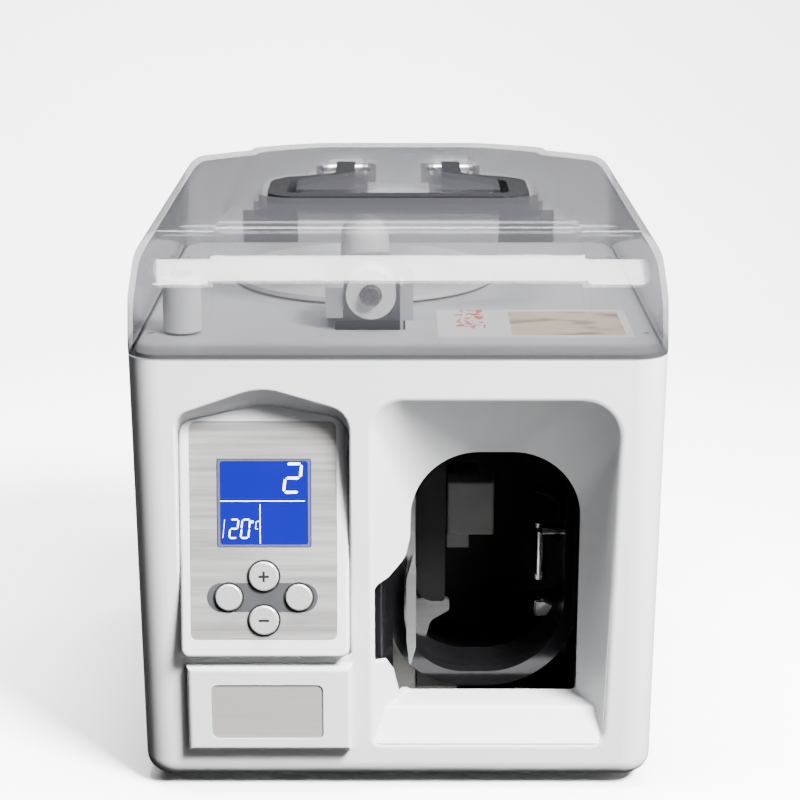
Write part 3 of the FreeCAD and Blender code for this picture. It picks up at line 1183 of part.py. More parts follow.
PARTS = {
    "main_housing": main_housing, "top_deck": top_deck, "rear_cover": rear_cover, "rear_screws": rear_screws,
    "base_plate": base_plate, "rubber_feet": rubber_feet, "lid": lid,
    "hinge_leaves_housing": lambda: hinge_leaves(False), "hinge_leaves_lid": lambda: hinge_leaves(True),
    "carry_handle": carry_handle, "handle_pins": handle_pins,
    "roll_tray": roll_tray, "roll_hub": roll_hub, "spindle_pin": spindle_pin, "guide_sleeve": guide_sleeve,
    "guide_pin": guide_pin, "guide_roller": guide_roller, "roller_screw": roller_screw,
    "roller_bracket": roller_bracket, "deck_label": deck_label, "console_bezel": console_bezel,
    "panel_overlay": panel_overlay, "lcd_module": lcd_module, "control_board": control_board,
    "name_plate": name_plate, "tape_track": tape_track, "press_anvil": press_anvil, "head_guard": head_guard,
    "throat_liner": throat_liner,
    "chamber_bulkhead": chamber_bulkhead, "track_bracket": track_bracket, "bracket_hardware": bracket_hardware,
    "head_base": head_base, "tape_sensor": tape_sensor,
    "head_cover": head_cover, "hook_plate": hook_plate,
    "feed_roller": feed_roller, "feed_tyre": feed_tyre, "feed_gear": feed_gear, "feed_pinion": feed_pinion,
    "pinch_roller": pinch_roller, "pinch_axle": pinch_axle, "feed_motor": feed_motor,
    "head_carriage": head_carriage, "head_pinion": head_pinion, "head_motor": head_motor,
    "press_pad": press_pad, "heater_block": heater_block, "cutter_blade": cutter_blade,
    "head_rails": head_rails, "head_frame": head_frame, "power_supply": power_supply,
    "drive_board": drive_board, "power_inlet": power_inlet, "switch_frame": switch_frame,
    "power_rocker": power_rocker,
}

os.makedirs("parts", exist_ok=True)
for part_name, make in PARTS.items():
    save(part_name, make())
for part_name in BUTTONS:
    save(part_name, panel_button(part_name))
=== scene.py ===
"""Tabletop paper-tape banding machine: the looks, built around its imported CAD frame."""

import math

import bmesh
import bpy
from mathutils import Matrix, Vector


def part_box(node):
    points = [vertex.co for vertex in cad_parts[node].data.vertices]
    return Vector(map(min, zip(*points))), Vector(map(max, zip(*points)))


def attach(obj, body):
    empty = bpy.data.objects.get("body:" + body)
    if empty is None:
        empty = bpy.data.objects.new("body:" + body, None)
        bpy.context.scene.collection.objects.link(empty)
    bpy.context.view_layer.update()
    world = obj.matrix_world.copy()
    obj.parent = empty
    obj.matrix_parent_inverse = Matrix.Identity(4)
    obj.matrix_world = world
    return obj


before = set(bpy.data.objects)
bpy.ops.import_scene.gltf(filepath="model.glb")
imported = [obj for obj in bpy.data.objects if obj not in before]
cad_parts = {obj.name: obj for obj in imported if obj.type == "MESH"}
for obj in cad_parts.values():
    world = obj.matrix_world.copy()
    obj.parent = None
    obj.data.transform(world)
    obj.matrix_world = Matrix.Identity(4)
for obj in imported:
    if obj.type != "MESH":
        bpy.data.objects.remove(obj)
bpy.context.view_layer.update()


# ---- Studio ----
# A white paper sweep under and behind the machine, a camera in front and a little above the lid.
# The lamps are strong at the right and above, and the paper throws nothing back, so hollows stay shaded.

CAMERA_AT = (0.00093, -1.01072, 0.44981)
CAMERA_TILT = 73.97
CAMERA_LENS = 89.16
FLOOR_TONE = (0.93, 0.93, 0.935)
FLOOR_SHADE = (0.90, 0.90, 0.91)
SWEEP_FRONT = -3.0
SWEEP_BEND = 0.75
SWEEP_R = 0.7
SWEEP_HALF = 4.0
SWEEP_TOP = 3.0
SWEEP_STEPS = 12
SKY_TONE = (0.93, 0.95, 1.0)
SKY_STRENGTH = 0.018


class Value:
    """A number running through a material's nodes; sums on it add Math nodes."""

    def __init__(self, finish, socket):
        self.finish = finish
        self.socket = socket

    def math(self, operation, *values):
        return self.finish.node("Math", {"operation": operation}, dict(enumerate(values)))

    def __add__(self, other):
        return self.math("ADD", self, other)

    def __radd__(self, other):
        return self.math("ADD", other, self)

    def __sub__(self, other):
        return self.math("SUBTRACT", self, other)

    def __rsub__(self, other):
        return self.math("SUBTRACT", other, self)

    def __mul__(self, other):
        return self.math("MULTIPLY", self, other)

    def __rmul__(self, other):
        return self.math("MULTIPLY", other, self)

    def __truediv__(self, other):
        return self.math("DIVIDE", self, other)

    def __rtruediv__(self, other):
        return self.math("DIVIDE", other, self)

    def above(self, other):
        return self.math("GREATER_THAN", self, other)

    def below(self, other):
        return self.math("LESS_THAN", self, other)

    def step(self, start, end):
        """0 before start, 1 after end, smooth between."""
        settings = {"interpolation_type": "SMOOTHSTEP"}
        return self.finish.node("MapRange", settings, {"Value": self, "From Min": start, "From Max": end})


class Finish:
    """One material: even values on the shader's own sockets, varying ones from nodes."""

    def __init__(self, name, **even):
        self.material = bpy.data.materials.new(name)
        self.material.use_nodes = True
        self.tree = self.material.node_tree
        self.shader = self.tree.nodes["Principled BSDF"]
        self.set(**even)

    def feed(self, socket, value):
        if isinstance(value, Value):
            self.tree.links.new(value.socket, socket)
        elif socket.type == "RGBA":
            socket.default_value = (*value, 1.0)
        else:
            socket.default_value = value

    def set(self, **sockets):
        for socket, value in sockets.items():
            self.feed(self.shader.inputs[socket.replace("_", " ")], value)

    def node(self, kind, settings=None, inputs=None, output=0):
        """A node of the given type: its settings come first, then its sockets' values or links."""
        made = self.tree.nodes.new("ShaderNode" + kind)
        for name, value in (settings or {}).items():
            setattr(made, name, value)
        for name, value in (inputs or {}).items():
            self.feed(made.inputs[name], value)
        return Value(self, made.outputs[output])

    def noise(self, scale, detail=3.0, stretch=(1.0, 1.0, 1.0), roughness=0.5):
        """Soft random pattern over the piece, counted in metres and stretched along its axes."""
        place = self.node("TexCoord", output="Object")
        point = self.node("VectorMath", {"operation": "MULTIPLY"}, {0: place, 1: stretch})
        inputs = {"Vector": point, "Scale": scale, "Detail": detail, "Roughness": roughness}
        return self.node("TexNoise", None, inputs)

    def axis(self, name):
        """Place along X, Y or Z in metres."""
        return self.node("SeparateXYZ", None, {0: self.node("TexCoord", output="Object")}, name)

    def blend(self, share, first, second):
        """Colour that runs from first, where share is 0, to second, where it is 1."""
        return self.node("Mix", {"data_type": "RGBA"}, {0: share, 6: first, 7: second}, 2)

    def bump(self, height, depth, strength=1.0):
        """Relief of the given depth in metres."""
        return self.node("Bump", None, {"Height": height, "Distance": depth, "Strength": strength})

    def on(self, *nodes):
        """Puts the material on CAD nodes, in place of their plain one."""
        for name in nodes:
            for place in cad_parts[name].material_slots:
                place.material = self.material
        return self


def lamp(name, at, towards, width, height, watts, spread=180.0):
    """Soft rectangular lamp; a small spread keeps its light off the floor, as a grid does."""
    data = bpy.data.lights.new(name, "AREA")
    data.shape = "RECTANGLE"
    data.size = width
    data.size_y = height
    data.energy = watts
    data.spread = math.radians(spread)
    made = bpy.data.objects.new(name, data)
    bpy.context.scene.collection.objects.link(made)
    made.location = at
    made.rotation_euler = (Vector(towards) - Vector(at)).to_track_quat("-Z", "Y").to_euler()


def new_piece(name, mesh, finish, smooth):
    """An object made from a bmesh, in the given finish."""
    data = bpy.data.meshes.new(name)
    bmesh.ops.recalc_face_normals(mesh, faces=mesh.faces)
    mesh.to_mesh(data)
    mesh.free()
    for face in data.polygons:
        face.use_smooth = smooth
    made = bpy.data.objects.new(name, data)
    bpy.context.scene.collection.objects.link(made)
    data.materials.append(finish.material)
    return made


camera_data = bpy.data.cameras.new("camera")
camera_data.lens = CAMERA_LENS
camera = bpy.data.objects.new("camera", camera_data)
bpy.context.scene.collection.objects.link(camera)
camera.location = CAMERA_AT
camera.rotation_euler = (math.radians(CAMERA_TILT), 0, 0)
bpy.context.scene.camera = camera

world = bpy.data.worlds.new("studio")
world.use_nodes = True
sky = world.node_tree.nodes["Background"]
sky.inputs["Color"].default_value = (*SKY_TONE, 1.0)
sky.inputs["Strength"].default_value = SKY_STRENGTH
bpy.context.scene.world = world

lamp("key_right", at=(0.85, -0.95, 1.45), towards=(0.0, -0.1, 0.13),
     width=0.55, height=0.55, watts=52, spread=70.0)
lamp("front_soft", at=(0.7, -1.6, 0.36), towards=(0.03, -0.1, 0.10),
     width=0.5, height=0.3, watts=0.7, spread=60.0)
lamp("lid_strip", at=(0.0, -0.16, 1.05), towards=(0.0, -0.06, 0.25), width=0.42, height=0.20, watts=36)
lamp("right_rim", at=(1.3, -0.2, 0.4), towards=(0.0, 0.0, 0.14), width=0.3, height=0.5, watts=5)
lamp("top_sheet", at=(0.0, 1.1, 1.0), towards=(0.0, 0.0, 0.27), width=0.9, height=0.35, watts=6)
lamp("backdrop_wash", at=(0.0, 0.75, 1.7), towards=(0.0, 1.6, 0.5), width=2.6, height=0.5, watts=150)

sweep = bmesh.new()
sweep_line = [(SWEEP_FRONT, 0.0), (SWEEP_BEND, 0.0)]
for step in range(1, SWEEP_STEPS + 1):
    turn = math.radians(90.0 * step / SWEEP_STEPS)
    sweep_line.append((SWEEP_BEND + SWEEP_R * math.sin(turn), SWEEP_R * (1 - math.cos(turn))))
sweep_line.append((SWEEP_BEND + SWEEP_R, SWEEP_TOP))
sweep_rows = [[sweep.verts.new((side * SWEEP_HALF, y, z)) for side in (-1, 1)] for y, z in sweep_line]
for near, far in zip(sweep_rows, sweep_rows[1:]):
    sweep.faces.new((near[0], near[1], far[1], far[0]))
paper = Finish("sweep_paper", Roughness=0.8)
paper.set(Base_Color=paper.blend(paper.noise(3.0), FLOOR_TONE, FLOOR_SHADE))
paper_sweep = new_piece("paper_sweep", sweep, paper, smooth=True)
paper_sweep.visible_diffuse = False
paper_sweep.visible_glossy = False


# ---- Housing and console bezel ----
# The housing is one shell moulded in white ABS, with a fine satin texture from the tool. It holds the
# console's niche, the plate block and the hollow round the throat. The bezel is the same ABS.

WHITE = (0.54, 0.545, 0.555)
WHITE_WARM = (0.505, 0.505, 0.51)
DUST = (0.55, 0.55, 0.54)
DUST_FROM = 0.004
DUST_TO = 0.05


def moulded_white(name, tone, roughness):
    """White ABS: fine spark texture, slow drift of gloss and tone, a little dust low down."""
    finish = Finish(name, Specular_IOR_Level=0.5, Coat_Weight=0.12, Coat_Roughness=0.25)
    drift = finish.noise(9.0, 4.0)
    grain = finish.noise(2600.0, 2.0)
    ripple = finish.noise(38.0, 2.0)
    low = 1.0 - finish.axis("Z").step(DUST_FROM, DUST_TO)
    worn = finish.blend(drift * 0.5, tone, WHITE_WARM)
    dusty = finish.blend(low * finish.noise(160.0, 5.0) * 0.25, worn, DUST)
    finish.set(Base_Color=dusty, Roughness=drift * 0.08 + grain * 0.06 + (roughness - 0.07))
    finish.set(Normal=finish.bump(grain * 0.25 + ripple, 0.00006, 0.6))
    return finish


moulded_white("white_shell", WHITE, 0.34).on("main_housing", "console_bezel")


# ---- Rear cover and hinge leaves ----
# The cover is white ABS from a second tool, a little duller than the housing, held by six screws.
# The leaves are pressed steel with a white powder coat, one of each pair on the lid.

moulded_white("rear_white", (0.60, 0.605, 0.615), 0.42).on("rear_cover")
# The leaves' white is set far above the housing's: partly their powder coat, partly painted light that
# lifts the shade they sit in behind the lid.
moulded_white("hinge_white_painted_light", (0.86, 0.86, 0.87), 0.40).on("hinge_leaves_housing", "hinge_leaves_lid")


# ---- Deck ----
# Grey ABS tray screwed to the housing's bosses, with the slot that the paper tape drops through.
# Its top has a fine grain from the tool.

deck_grey = Finish("deck_grey", Specular_IOR_Level=0.5)
deck_drift = deck_grey.noise(14.0, 4.0)
deck_grain = deck_grey.noise(1900.0, 2.0)
deck_tone = deck_grey.blend(deck_drift, (0.44, 0.44, 0.445), (0.52, 0.52, 0.52))
deck_grey.set(Base_Color=deck_tone, Roughness=deck_drift * 0.1 + 0.38)
deck_grey.set(Normal=deck_grey.bump(deck_grain, 0.00005))
deck_grey.on("top_deck")


# ---- Deck sticker ----
# Printed film stuck to the deck: a brown picture panel at the right and a column of red specks
# at the left. Its edges are shares of the sticker's own width and length.

PICTURE_LEFT = 0.38
PICTURE_RIGHT = 0.96
PICTURE_NEAR = 0.07
PICTURE_FAR = 0.93
SPECKS_LEFT = 0.10
SPECKS_RIGHT = 0.25
SPECKS_NEAR = 0.3

label_film = Finish("label_film", Coat_Weight=0.35, Coat_Roughness=0.2)
label_low, label_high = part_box("deck_label")
across = (label_film.axis("X") - label_low.x) / (label_high.x - label_low.x)
along = (label_film.axis("Y") - label_low.y) / (label_high.y - label_low.y)
picture_across = across.above(PICTURE_LEFT) * across.below(PICTURE_RIGHT)
picture = picture_across * along.above(PICTURE_NEAR) * along.below(PICTURE_FAR)
speck_column = across.above(SPECKS_LEFT) * across.below(SPECKS_RIGHT) * along.above(SPECKS_NEAR)
speck = label_film.noise(420.0, 1.0, (1.0, 0.6, 1.0)).above(0.53)
smudge = label_film.noise(60.0, 3.0, (0.6, 1.4, 1.0)).step(0.5, 0.62)
picture_tone = label_film.blend(smudge, (0.62, 0.50, 0.36), (0.30, 0.25, 0.20))
paper_tone = label_film.blend(speck_column * speck, (0.78, 0.74, 0.70), (0.62, 0.13, 0.10))
label_film.set(Base_Color=label_film.blend(picture, paper_tone, picture_tone))
label_film.set(Roughness=label_film.noise(50.0) * 0.2 + 0.3)
label_film.set(Normal=label_film.bump(label_film.noise(90.0), 0.00008))
label_film.on("deck_label")


# ---- Lid ----
# Smoke-tinted polycarbonate hood, vacuum formed, with a raised centre panel and a channel
# that the carrying handle folds into. It turns on two steel hinges at the back.

SMOKE_CLEAR = (0.72, 0.72, 0.73)
SMOKE_GLOSS = (0.045, 0.045, 0.05)
FACE_COVER = 0.17
EDGE_COVER = 0.55
LIP_SHADE_COVER = 0.26
BROW_SHADE_COVER = 0.05
LIP_TOP = 0.2245
LIP_BLUR = 0.003
BROW_HIGH = 0.035

smoke_lid = Finish("smoke_lid")
clear = smoke_lid.node("BsdfTransparent", None, {"Color": SMOKE_CLEAR})
gloss = smoke_lid.node("BsdfPrincipled", None, {
    "Base Color": SMOKE_GLOSS, "IOR": 1.5, "Coat Weight": 0.6, "Coat Roughness": 0.03,
    "Roughness": smoke_lid.noise(120.0, 3.0) * 0.04 + 0.02,
    "Normal": smoke_lid.bump(smoke_lid.noise(14.0, 2.0), 0.0005, 0.6)})
edge_on = smoke_lid.node("LayerWeight", None, {"Blend": 0.35}, "Facing")
# Painted shade: the lip band at the rim and the brow just above it take more of the dark gloss by height,
# so the lid's lower edge reads darker.
lip_shade = 1.0 - smoke_lid.axis("Z").step(LIP_TOP - LIP_BLUR, LIP_TOP)
brow_shade = 1.0 - smoke_lid.axis("Z").step(LIP_TOP, LIP_TOP + BROW_HIGH)
cover = edge_on * edge_on * EDGE_COVER + lip_shade * LIP_SHADE_COVER + brow_shade * BROW_SHADE_COVER + FACE_COVER
smoke = smoke_lid.node("MixShader", None, {0: cover, 1: clear, 2: gloss})
smoke_lid.tree.nodes.remove(smoke_lid.shader)
smoke_lid.feed(smoke_lid.tree.nodes["Material Output"].inputs["Surface"], smoke)
smoke_lid.on("lid")


# ---- Carrying handle ----
# Bail moulded in black nylon with a low gloss. It folds into the lid's channel and stands up on
# two steel pins.

black_bail = Finish("black_bail", Specular_IOR_Level=0.5, Coat_Weight=0.3, Coat_Roughness=0.05)
bail_grain = black_bail.noise(700.0, 3.0)
black_bail.set(Base_Color=black_bail.blend(bail_grain, (0.006, 0.006, 0.007), (0.016, 0.016, 0.018)))
black_bail.set(Roughness=bail_grain * 0.10 + 0.14, Normal=black_bail.bump(bail_grain, 0.00001))
black_bail.on("carry_handle")


# ---- Console film and name plate ----
# Brushed silver film stuck on the bezel's sloping face, and a blank silver plate in its pocket below.
# Places on the film are u across, v up from its lower edge and w out of its face.

TILT = math.radians(10.0)
FILM_THICK = 0.0005
film_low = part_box("panel_overlay")[0]
UP = Vector((0.0, math.sin(TILT), math.cos(TILT)))
OUT = Vector((0.0, -math.cos(TILT), math.sin(TILT)))
FOOT = Vector((0.0, film_low.y, film_low.z + FILM_THICK * math.sin(TILT)))


def on_film(u, v, w):
    """Point at u across, v up the film from its lower edge and w out of its face."""
    return FOOT + Vector((u, 0.0, 0.0)) + UP * v + OUT * w


panel_film = Finish("panel_film", Metallic=0.35, Anisotropic=0.3)
brushing = panel_film.noise(26.0, 8.0, (0.35, 1.0, 14.0), 0.62)
scratches = panel_film.noise(7.0, 5.0, (1.6, 1.0, 34.0), 0.7)
film_tone = panel_film.blend(brushing.step(0.32, 0.68), (0.20, 0.194, 0.190), (0.325, 0.319, 0.312))
film_tone = panel_film.blend(scratches.step(0.56, 0.70) * 0.6, film_tone, (0.17, 0.165, 0.16))
panel_film.set(Base_Color=film_tone, Roughness=brushing * 0.15 + 0.33)
panel_film.set(Normal=panel_film.bump(brushing, 0.00003))
panel_film.on("panel_overlay")

silver_plate = Finish("silver_plate", Metallic=0.45, Anisotropic=0.4)
plate_grain = silver_plate.noise(30.0, 6.0, (0.3, 1.0, 16.0), 0.6)
silver_plate.set(Base_Color=silver_plate.blend(plate_grain, (0.34, 0.325, 0.314), (0.47, 0.452, 0.438)))
silver_plate.set(Roughness=plate_grain * 0.12 + 0.3, Normal=silver_plate.bump(plate_grain, 0.00002))
silver_plate.on("name_plate")


# ---- Display ----
# Backlit blue screen behind the film's window, with a dark frame and white figures laid on its glass:
# a count above, a temperature with its degree mark and C below, and two thin rules between.

SCREEN = (-0.0838, -0.0424, 0.0455, 0.0853)
SCREEN_CORNER = 0.0012
LCD_FRAME = (-0.0850, -0.0412, 0.0445, 0.0861)
LCD_FRAME_CORNER = 0.0008
LCD_FRAME_THICK = 0.00016
LCD_BED = -0.00020
INK_THICK = 0.00012
DIGIT_FOOT = 0.0487
DIGIT_WIDE = 0.0036
DIGIT_HIGH = 0.0088
FIGURES = {
    "count_two": (-0.0538, 0.0705, 0.0072, 0.0135, "abged"),
    "heat_one": (-0.0829, DIGIT_FOOT, 0.0003, DIGIT_HIGH, "bc"),
    "heat_two": (-0.0796, DIGIT_FOOT, DIGIT_WIDE, DIGIT_HIGH, "abged"),
    "heat_zero": (-0.0742, DIGIT_FOOT, DIGIT_WIDE, DIGIT_HIGH, "abcdef"),
    "celsius": (-0.0672, 0.0530, 0.0013, 0.0036, "afed"),
}
RULES = {
    "level": (-0.0841, -0.0439, 0.0661, 0.0665),
    "upright": (-0.0652, -0.0648, 0.0460, 0.0648),
}
RULE_CORNER = 0.0001
BAR_SHARE = 0.15
BAR_LEAST = 0.0002
GAP_SHARE = 0.06
LEAN = 0.10
DEGREE_AT = (-0.0687, 0.0565)
DEGREE_R = 0.0007
DEGREE_HOLE_R = 0.0004
DEGREE_SIDES = 20


def inlay(name, outlines, lift, thick, finish, body):
    """Flat printed or moulded shape on the film: outlines are loops of (u, v), inner loops are holes."""
    drawing = bpy.data.curves.new(name + "_drawing", "CURVE")
    drawing.dimensions = "2D"
    drawing.fill_mode = "BOTH"
    drawing.extrude = thick / 2
    for outline in outlines:
        spline = drawing.splines.new("POLY")
        spline.points.add(len(outline) - 1)
        for point, (u, v) in zip(spline.points, outline):
            point.co = (u, v, 0.0, 1.0)
        spline.use_cyclic_u = True
    pattern = bpy.data.objects.new(name + "_drawing", drawing)
    bpy.context.scene.collection.objects.link(pattern)
    flat = bpy.data.meshes.new_from_object(pattern)
    bpy.data.objects.remove(pattern)
    shape = bmesh.new()
    shape.from_mesh(flat)
    bpy.data.meshes.remove(flat)
    bmesh.ops.remove_doubles(shape, verts=shape.verts, dist=1e-7)
    for vertex in shape.verts:
        vertex.co = on_film(vertex.co.x, vertex.co.y, vertex.co.z + lift + thick / 2)
    made = new_piece(name, shape, finish, smooth=False)
    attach(made, body)


def circle(u, v, r, sides=48):
    turns = [2 * math.pi * side / sides for side in range(sides)]
    return [(u + r * math.cos(turn), v + r * math.sin(turn)) for turn in turns]


def rounded(u0, u1, v0, v1, r, steps=8):
    """Rectangle with round corners, anticlockwise."""
    corners = [(u1 - r, v0 + r, -90), (u1 - r, v1 - r, 0), (u0 + r, v1 - r, 90), (u0 + r, v0 + r, 180)]
    points = []
    for u, v, start in corners:
        turns = [math.radians(start + 90 * i / steps) for i in range(steps + 1)]
        points += [(u + r * math.cos(turn), v + r * math.sin(turn)) for turn in turns]
    return points


def bars(u, v, wide, high, lit):
    """Leaning seven-segment figure: bars a to g, pointed at both ends, with thin gaps."""
    thick = BAR_SHARE * wide + BAR_LEAST
    gap = GAP_SHARE * wide
    mid = high / 2
    runs = {
        "a": ((0, high), (wide, high)),
        "b": ((wide, high), (wide, mid)),
        "c": ((wide, mid), (wide, 0)),
        "d": ((0, 0), (wide, 0)),
        "e": ((0, mid), (0, 0)),
        "f": ((0, high), (0, mid)),
        "g": ((0, mid), (wide, mid)),
    }
    loops = []
    for bar in lit:
        start, end = Vector(runs[bar][0]), Vector(runs[bar][1])
        ahead = (end - start).normalized()
        side = Vector((-ahead.y, ahead.x)) * thick / 2
        start, end = start + ahead * gap, end - ahead * gap
        inner_start, inner_end = start + ahead * thick / 2, end - ahead * thick / 2
        points = [start, inner_start - side, inner_end - side, end, inner_end + side, inner_start + side]
        loops.append([(u + p.x + p.y * LEAN, v + p.y) for p in points])
    return loops


lcd_glass = Finish("lcd_glass", Emission_Strength=0.46, Specular_IOR_Level=0.3, Roughness=0.16)
lcd_drift = lcd_glass.noise(30.0, 2.0)
lcd_glass.set(Base_Color=lcd_glass.blend(lcd_drift, (0.002, 0.002, 0.06), (0.003, 0.003, 0.08)),
              Emission_Color=lcd_glass.blend(lcd_drift, (0.012, 0.0, 0.90), (0.016, 0.001, 1.0)))
lcd_glass.on("lcd_module")

frame_grey = Finish("lcd_frame_grey", Specular_IOR_Level=0.5)
frame_drift = frame_grey.noise(300.0)
frame_grey.set(Base_Color=frame_grey.blend(frame_drift, (0.045, 0.05, 0.075), (0.07, 0.075, 0.10)),
               Roughness=frame_drift * 0.1 + 0.3)
inlay("lcd_frame", [rounded(*LCD_FRAME, LCD_FRAME_CORNER), rounded(*SCREEN, SCREEN_CORNER)[::-1]],
      LCD_BED, LCD_FRAME_THICK, frame_grey, "housing")

lcd_white = Finish("lcd_white", Emission_Strength=1.7, Roughness=0.3)
white_drift = lcd_white.noise(500.0)
lcd_white.set(Base_Color=lcd_white.blend(white_drift, (0.70, 0.74, 0.80), (0.80, 0.83, 0.88)),
              Emission_Color=lcd_white.blend(white_drift, (0.80, 0.86, 1.0), (0.9, 0.94, 1.0)))
figures = [loop for figure in FIGURES.values() for loop in bars(*figure)]
figures += [rounded(*rule, RULE_CORNER) for rule in RULES.values()]
inlay("lcd_figures", figures, LCD_BED, INK_THICK, lcd_white, "housing")
degree = [circle(*DEGREE_AT, DEGREE_R, DEGREE_SIDES), circle(*DEGREE_AT, DEGREE_HOLE_R, DEGREE_SIDES)[::-1]]
inlay("lcd_degree", degree, LCD_BED, INK_THICK, lcd_white, "housing")


# ---- Keys ----
# Four silver keys that press through the film, each in a thin black ring. The left and right ones
# stand in a dark printed pill. The plus and minus strokes are printed on their keys and move with them.

KEYS = {"plus": (-0.0634, 0.0305, 0.0070), "minus": (-0.0634, 0.0094, 0.0070),
        "left": (-0.0800, 0.0204, 0.0063), "right": (-0.0468, 0.0204, 0.0063)}
KEY_TOP = 0.0018
PILL = (-0.0904, -0.0379, 0.0132, 0.0272)
PILL_R = 0.00695
PILL_STEPS = 16
PILL_GAP = 0.0003
PILL_THICK = 0.00005
RING_OUT = 0.0009
RING_IN = 0.00025
RING_LIFT = 0.00006
RING_THICK = 0.0004
STROKE_HALF = 0.00060
ARM_HALF = 0.0025
STROKE_CORNER = 0.0002
UPRIGHT_CORNER = 0.0001
STROKE_THICK = 0.00003

silver_button = Finish("silver_button", Metallic=0.45)
button_grain = silver_button.noise(900.0, 2.0)
silver_button.set(Base_Color=silver_button.blend(button_grain, (0.40, 0.395, 0.39), (0.50, 0.495, 0.49)))
silver_button.set(Roughness=button_grain * 0.1 + 0.24, Normal=silver_button.bump(button_grain, 0.00001))
silver_button.on(*("button_" + name for name in KEYS))

pill_grey = Finish("pill_grey", Specular_IOR_Level=0.5)
pill_drift = pill_grey.noise(80.0, 4.0)
pill_grey.set(Base_Color=pill_grey.blend(pill_drift, (0.030, 0.031, 0.035), (0.048, 0.049, 0.055)),
              Roughness=pill_drift * 0.12 + 0.34)
keys_cut = [circle(u, v, r + PILL_GAP)[::-1] for u, v, r in (KEYS["left"], KEYS["right"])]
inlay("key_pill", [rounded(*PILL, PILL_R, PILL_STEPS)] + keys_cut,
      0.0, PILL_THICK, pill_grey, "housing")

ring_black = Finish("ring_black", Specular_IOR_Level=0.5)
ring_drift = ring_black.noise(400.0)
ring_black.set(Base_Color=ring_black.blend(ring_drift, (0.006, 0.006, 0.007), (0.016, 0.016, 0.018)),
               Roughness=ring_drift * 0.1 + 0.3)
for name, (u, v, r) in KEYS.items():
    ring = [circle(u, v, r + RING_OUT), circle(u, v, r + RING_IN)[::-1]]
    inlay("key_ring_" + name, ring, RING_LIFT, RING_THICK, ring_black, "housing")

for name in ("plus", "minus"):
    u, v, r = KEYS[name]
    level = rounded(u - ARM_HALF, u + ARM_HALF, v - STROKE_HALF, v + STROKE_HALF, STROKE_CORNER)
    inlay("key_stroke_" + name, [level], KEY_TOP, STROKE_THICK, ring_black, "button_" + name)
u, v, r = KEYS["plus"]
for name, v0, v1 in (("upper", v + STROKE_HALF, v + ARM_HALF), ("lower", v - ARM_HALF, v - STROKE_HALF)):
    upright = rounded(u - STROKE_HALF, u + STROKE_HALF, v0, v1, UPRIGHT_CORNER)
    inlay("key_stroke_plus_" + name, [upright], KEY_TOP, STROKE_THICK, ring_black, "button_plus")


# ---- Throat and its track ----
# Glossy black mouldings round the tape's path: the liner in front, the track loop behind it,
# the guard behind the thumb notch and the bracket at the right.

black_gloss = Finish("black_gloss", Specular_IOR_Level=0.45, Coat_Weight=0.25, Coat_Roughness=0.08)
black_drift = black_gloss.noise(60.0, 4.0)
black_gloss.set(Base_Color=black_gloss.blend(black_drift, (0.002, 0.002, 0.0025), (0.006, 0.006, 0.0065)))
black_gloss.set(Roughness=black_drift * 0.12 + 0.10, Normal=black_gloss.bump(black_drift, 0.00012))
black_gloss.on("throat_liner", "tape_track", "head_guard", "track_bracket")


# ---- Chamber ----
# Matt black wall behind the throat, the floor casting and the sealing head's cover, which keep
# light out of the chamber and hide the mechanism.

black_matt = Finish("black_matt", Specular_IOR_Level=0.3)
matt_grain = black_matt.noise(900.0, 3.0)
black_matt.set(Base_Color=black_matt.blend(matt_grain, (0.004, 0.004, 0.004), (0.010, 0.009, 0.009)))
black_matt.set(Roughness=matt_grain * 0.2 + 0.5, Normal=black_matt.bump(matt_grain, 0.00006))
black_matt.on("chamber_bulkhead", "head_base", "head_cover")


# ---- Steel and brass parts ----
# Zinc-plated plates and screws, a satin press plate and hook, ground pins, rods and rollers, a grey
# supply case, brass sealing tools and the motors' iron cans. All have fine streaks.


def streaked_metal(name, light, dark, roughness):
    """Rolled or ground metal with fine streaks."""
    finish = Finish(name, Metallic=1.0)
    streak = finish.noise(70.0, 5.0, (1.0, 1.0, 9.0))
    speck = finish.noise(980.0, 2.0)
    finish.set(Base_Color=finish.blend(streak, dark, light))
    finish.set(Roughness=streak * 0.14 + speck * 0.05 + roughness, Normal=finish.bump(streak, 0.00003))
    return finish


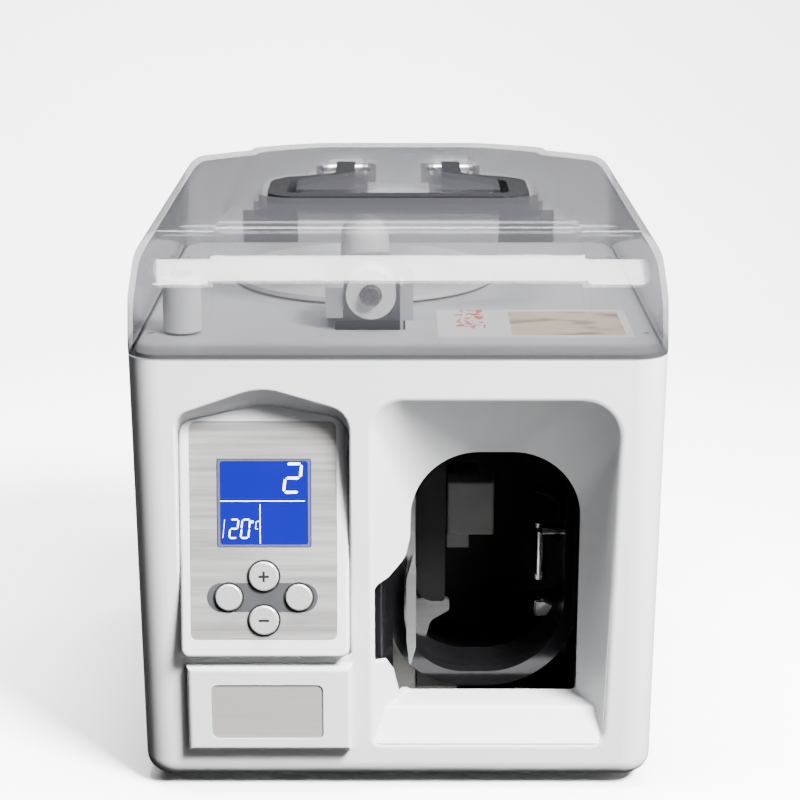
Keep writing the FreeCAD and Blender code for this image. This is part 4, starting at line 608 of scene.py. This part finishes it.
zinc_steel = streaked_metal("zinc_steel", (0.62, 0.62, 0.60), (0.45, 0.45, 0.44), 0.34)
zinc_steel.on("rear_screws", "handle_pins", "base_plate", "head_frame")
satin_steel = streaked_metal("satin_steel", (0.66, 0.66, 0.67), (0.48, 0.48, 0.49), 0.34)
satin_steel.on("press_anvil", "hook_plate")
bright_steel = streaked_metal("bright_steel", (0.78, 0.78, 0.78), (0.64, 0.64, 0.64), 0.16)
bright_steel.on("bracket_hardware", "roller_screw", "head_rails", "pinch_axle", "feed_roller",
                "spindle_pin", "guide_pin")
grey_steel = streaked_metal("grey_steel", (0.40, 0.41, 0.43), (0.32, 0.33, 0.35), 0.4)
grey_steel.on("power_supply")
brass_tool = streaked_metal("brass_tool", (0.70, 0.52, 0.24), (0.56, 0.40, 0.18), 0.25)
brass_tool.on("heater_block", "cutter_blade", "press_pad")
iron_can = streaked_metal("iron_core", (0.30, 0.30, 0.31), (0.18, 0.18, 0.19), 0.4)
iron_can.on("feed_motor", "head_motor")


# ---- Nylon, rubber and board parts ----
# Moulded grey and white nylon for the bracket, tray, hub, guides, gears and carriage; grey sensor and
# switch frame; black rubber feet and tyres; green circuit boards. All are faintly mottled.


def mottled(name, light, dark, roughness=0.36):
    """Moulded material, a little milky, with faint mottling."""
    finish = Finish(name, Subsurface_Weight=0.12, Subsurface_Scale=0.002)
    mottle = finish.noise(45.0, 5.0)
    grain = finish.noise(1500.0, 2.0)
    finish.set(Base_Color=finish.blend(mottle, dark, light), Roughness=mottle * 0.12 + roughness)
    finish.set(Normal=finish.bump(grain + mottle, 0.00004))
    return finish


bracket_grey = mottled("bracket_grey", (0.40, 0.40, 0.41), (0.32, 0.32, 0.33), 0.4)
bracket_grey.on("roller_bracket")
white_nylon = mottled("white_nylon", (0.76, 0.76, 0.74), (0.66, 0.66, 0.63))
white_nylon.on("roll_tray", "roll_hub", "guide_sleeve", "guide_roller")
gear_nylon = mottled("gear_nylon", (0.62, 0.60, 0.52), (0.52, 0.50, 0.43))
gear_nylon.on("feed_gear", "feed_pinion", "head_pinion", "head_carriage")
grey_plastic = mottled("grey_plastic", (0.16, 0.155, 0.152), (0.10, 0.098, 0.097))
grey_plastic.on("tape_sensor", "switch_frame")
black_rubber = mottled("black_rubber", (0.035, 0.035, 0.035), (0.02, 0.02, 0.02), 0.6)
black_rubber.on("rubber_feet", "feed_tyre", "pinch_roller", "power_inlet", "power_rocker")
board_green = mottled("board_green", (0.02, 0.12, 0.05), (0.01, 0.07, 0.03), 0.3)
board_green.on("control_board", "drive_board")
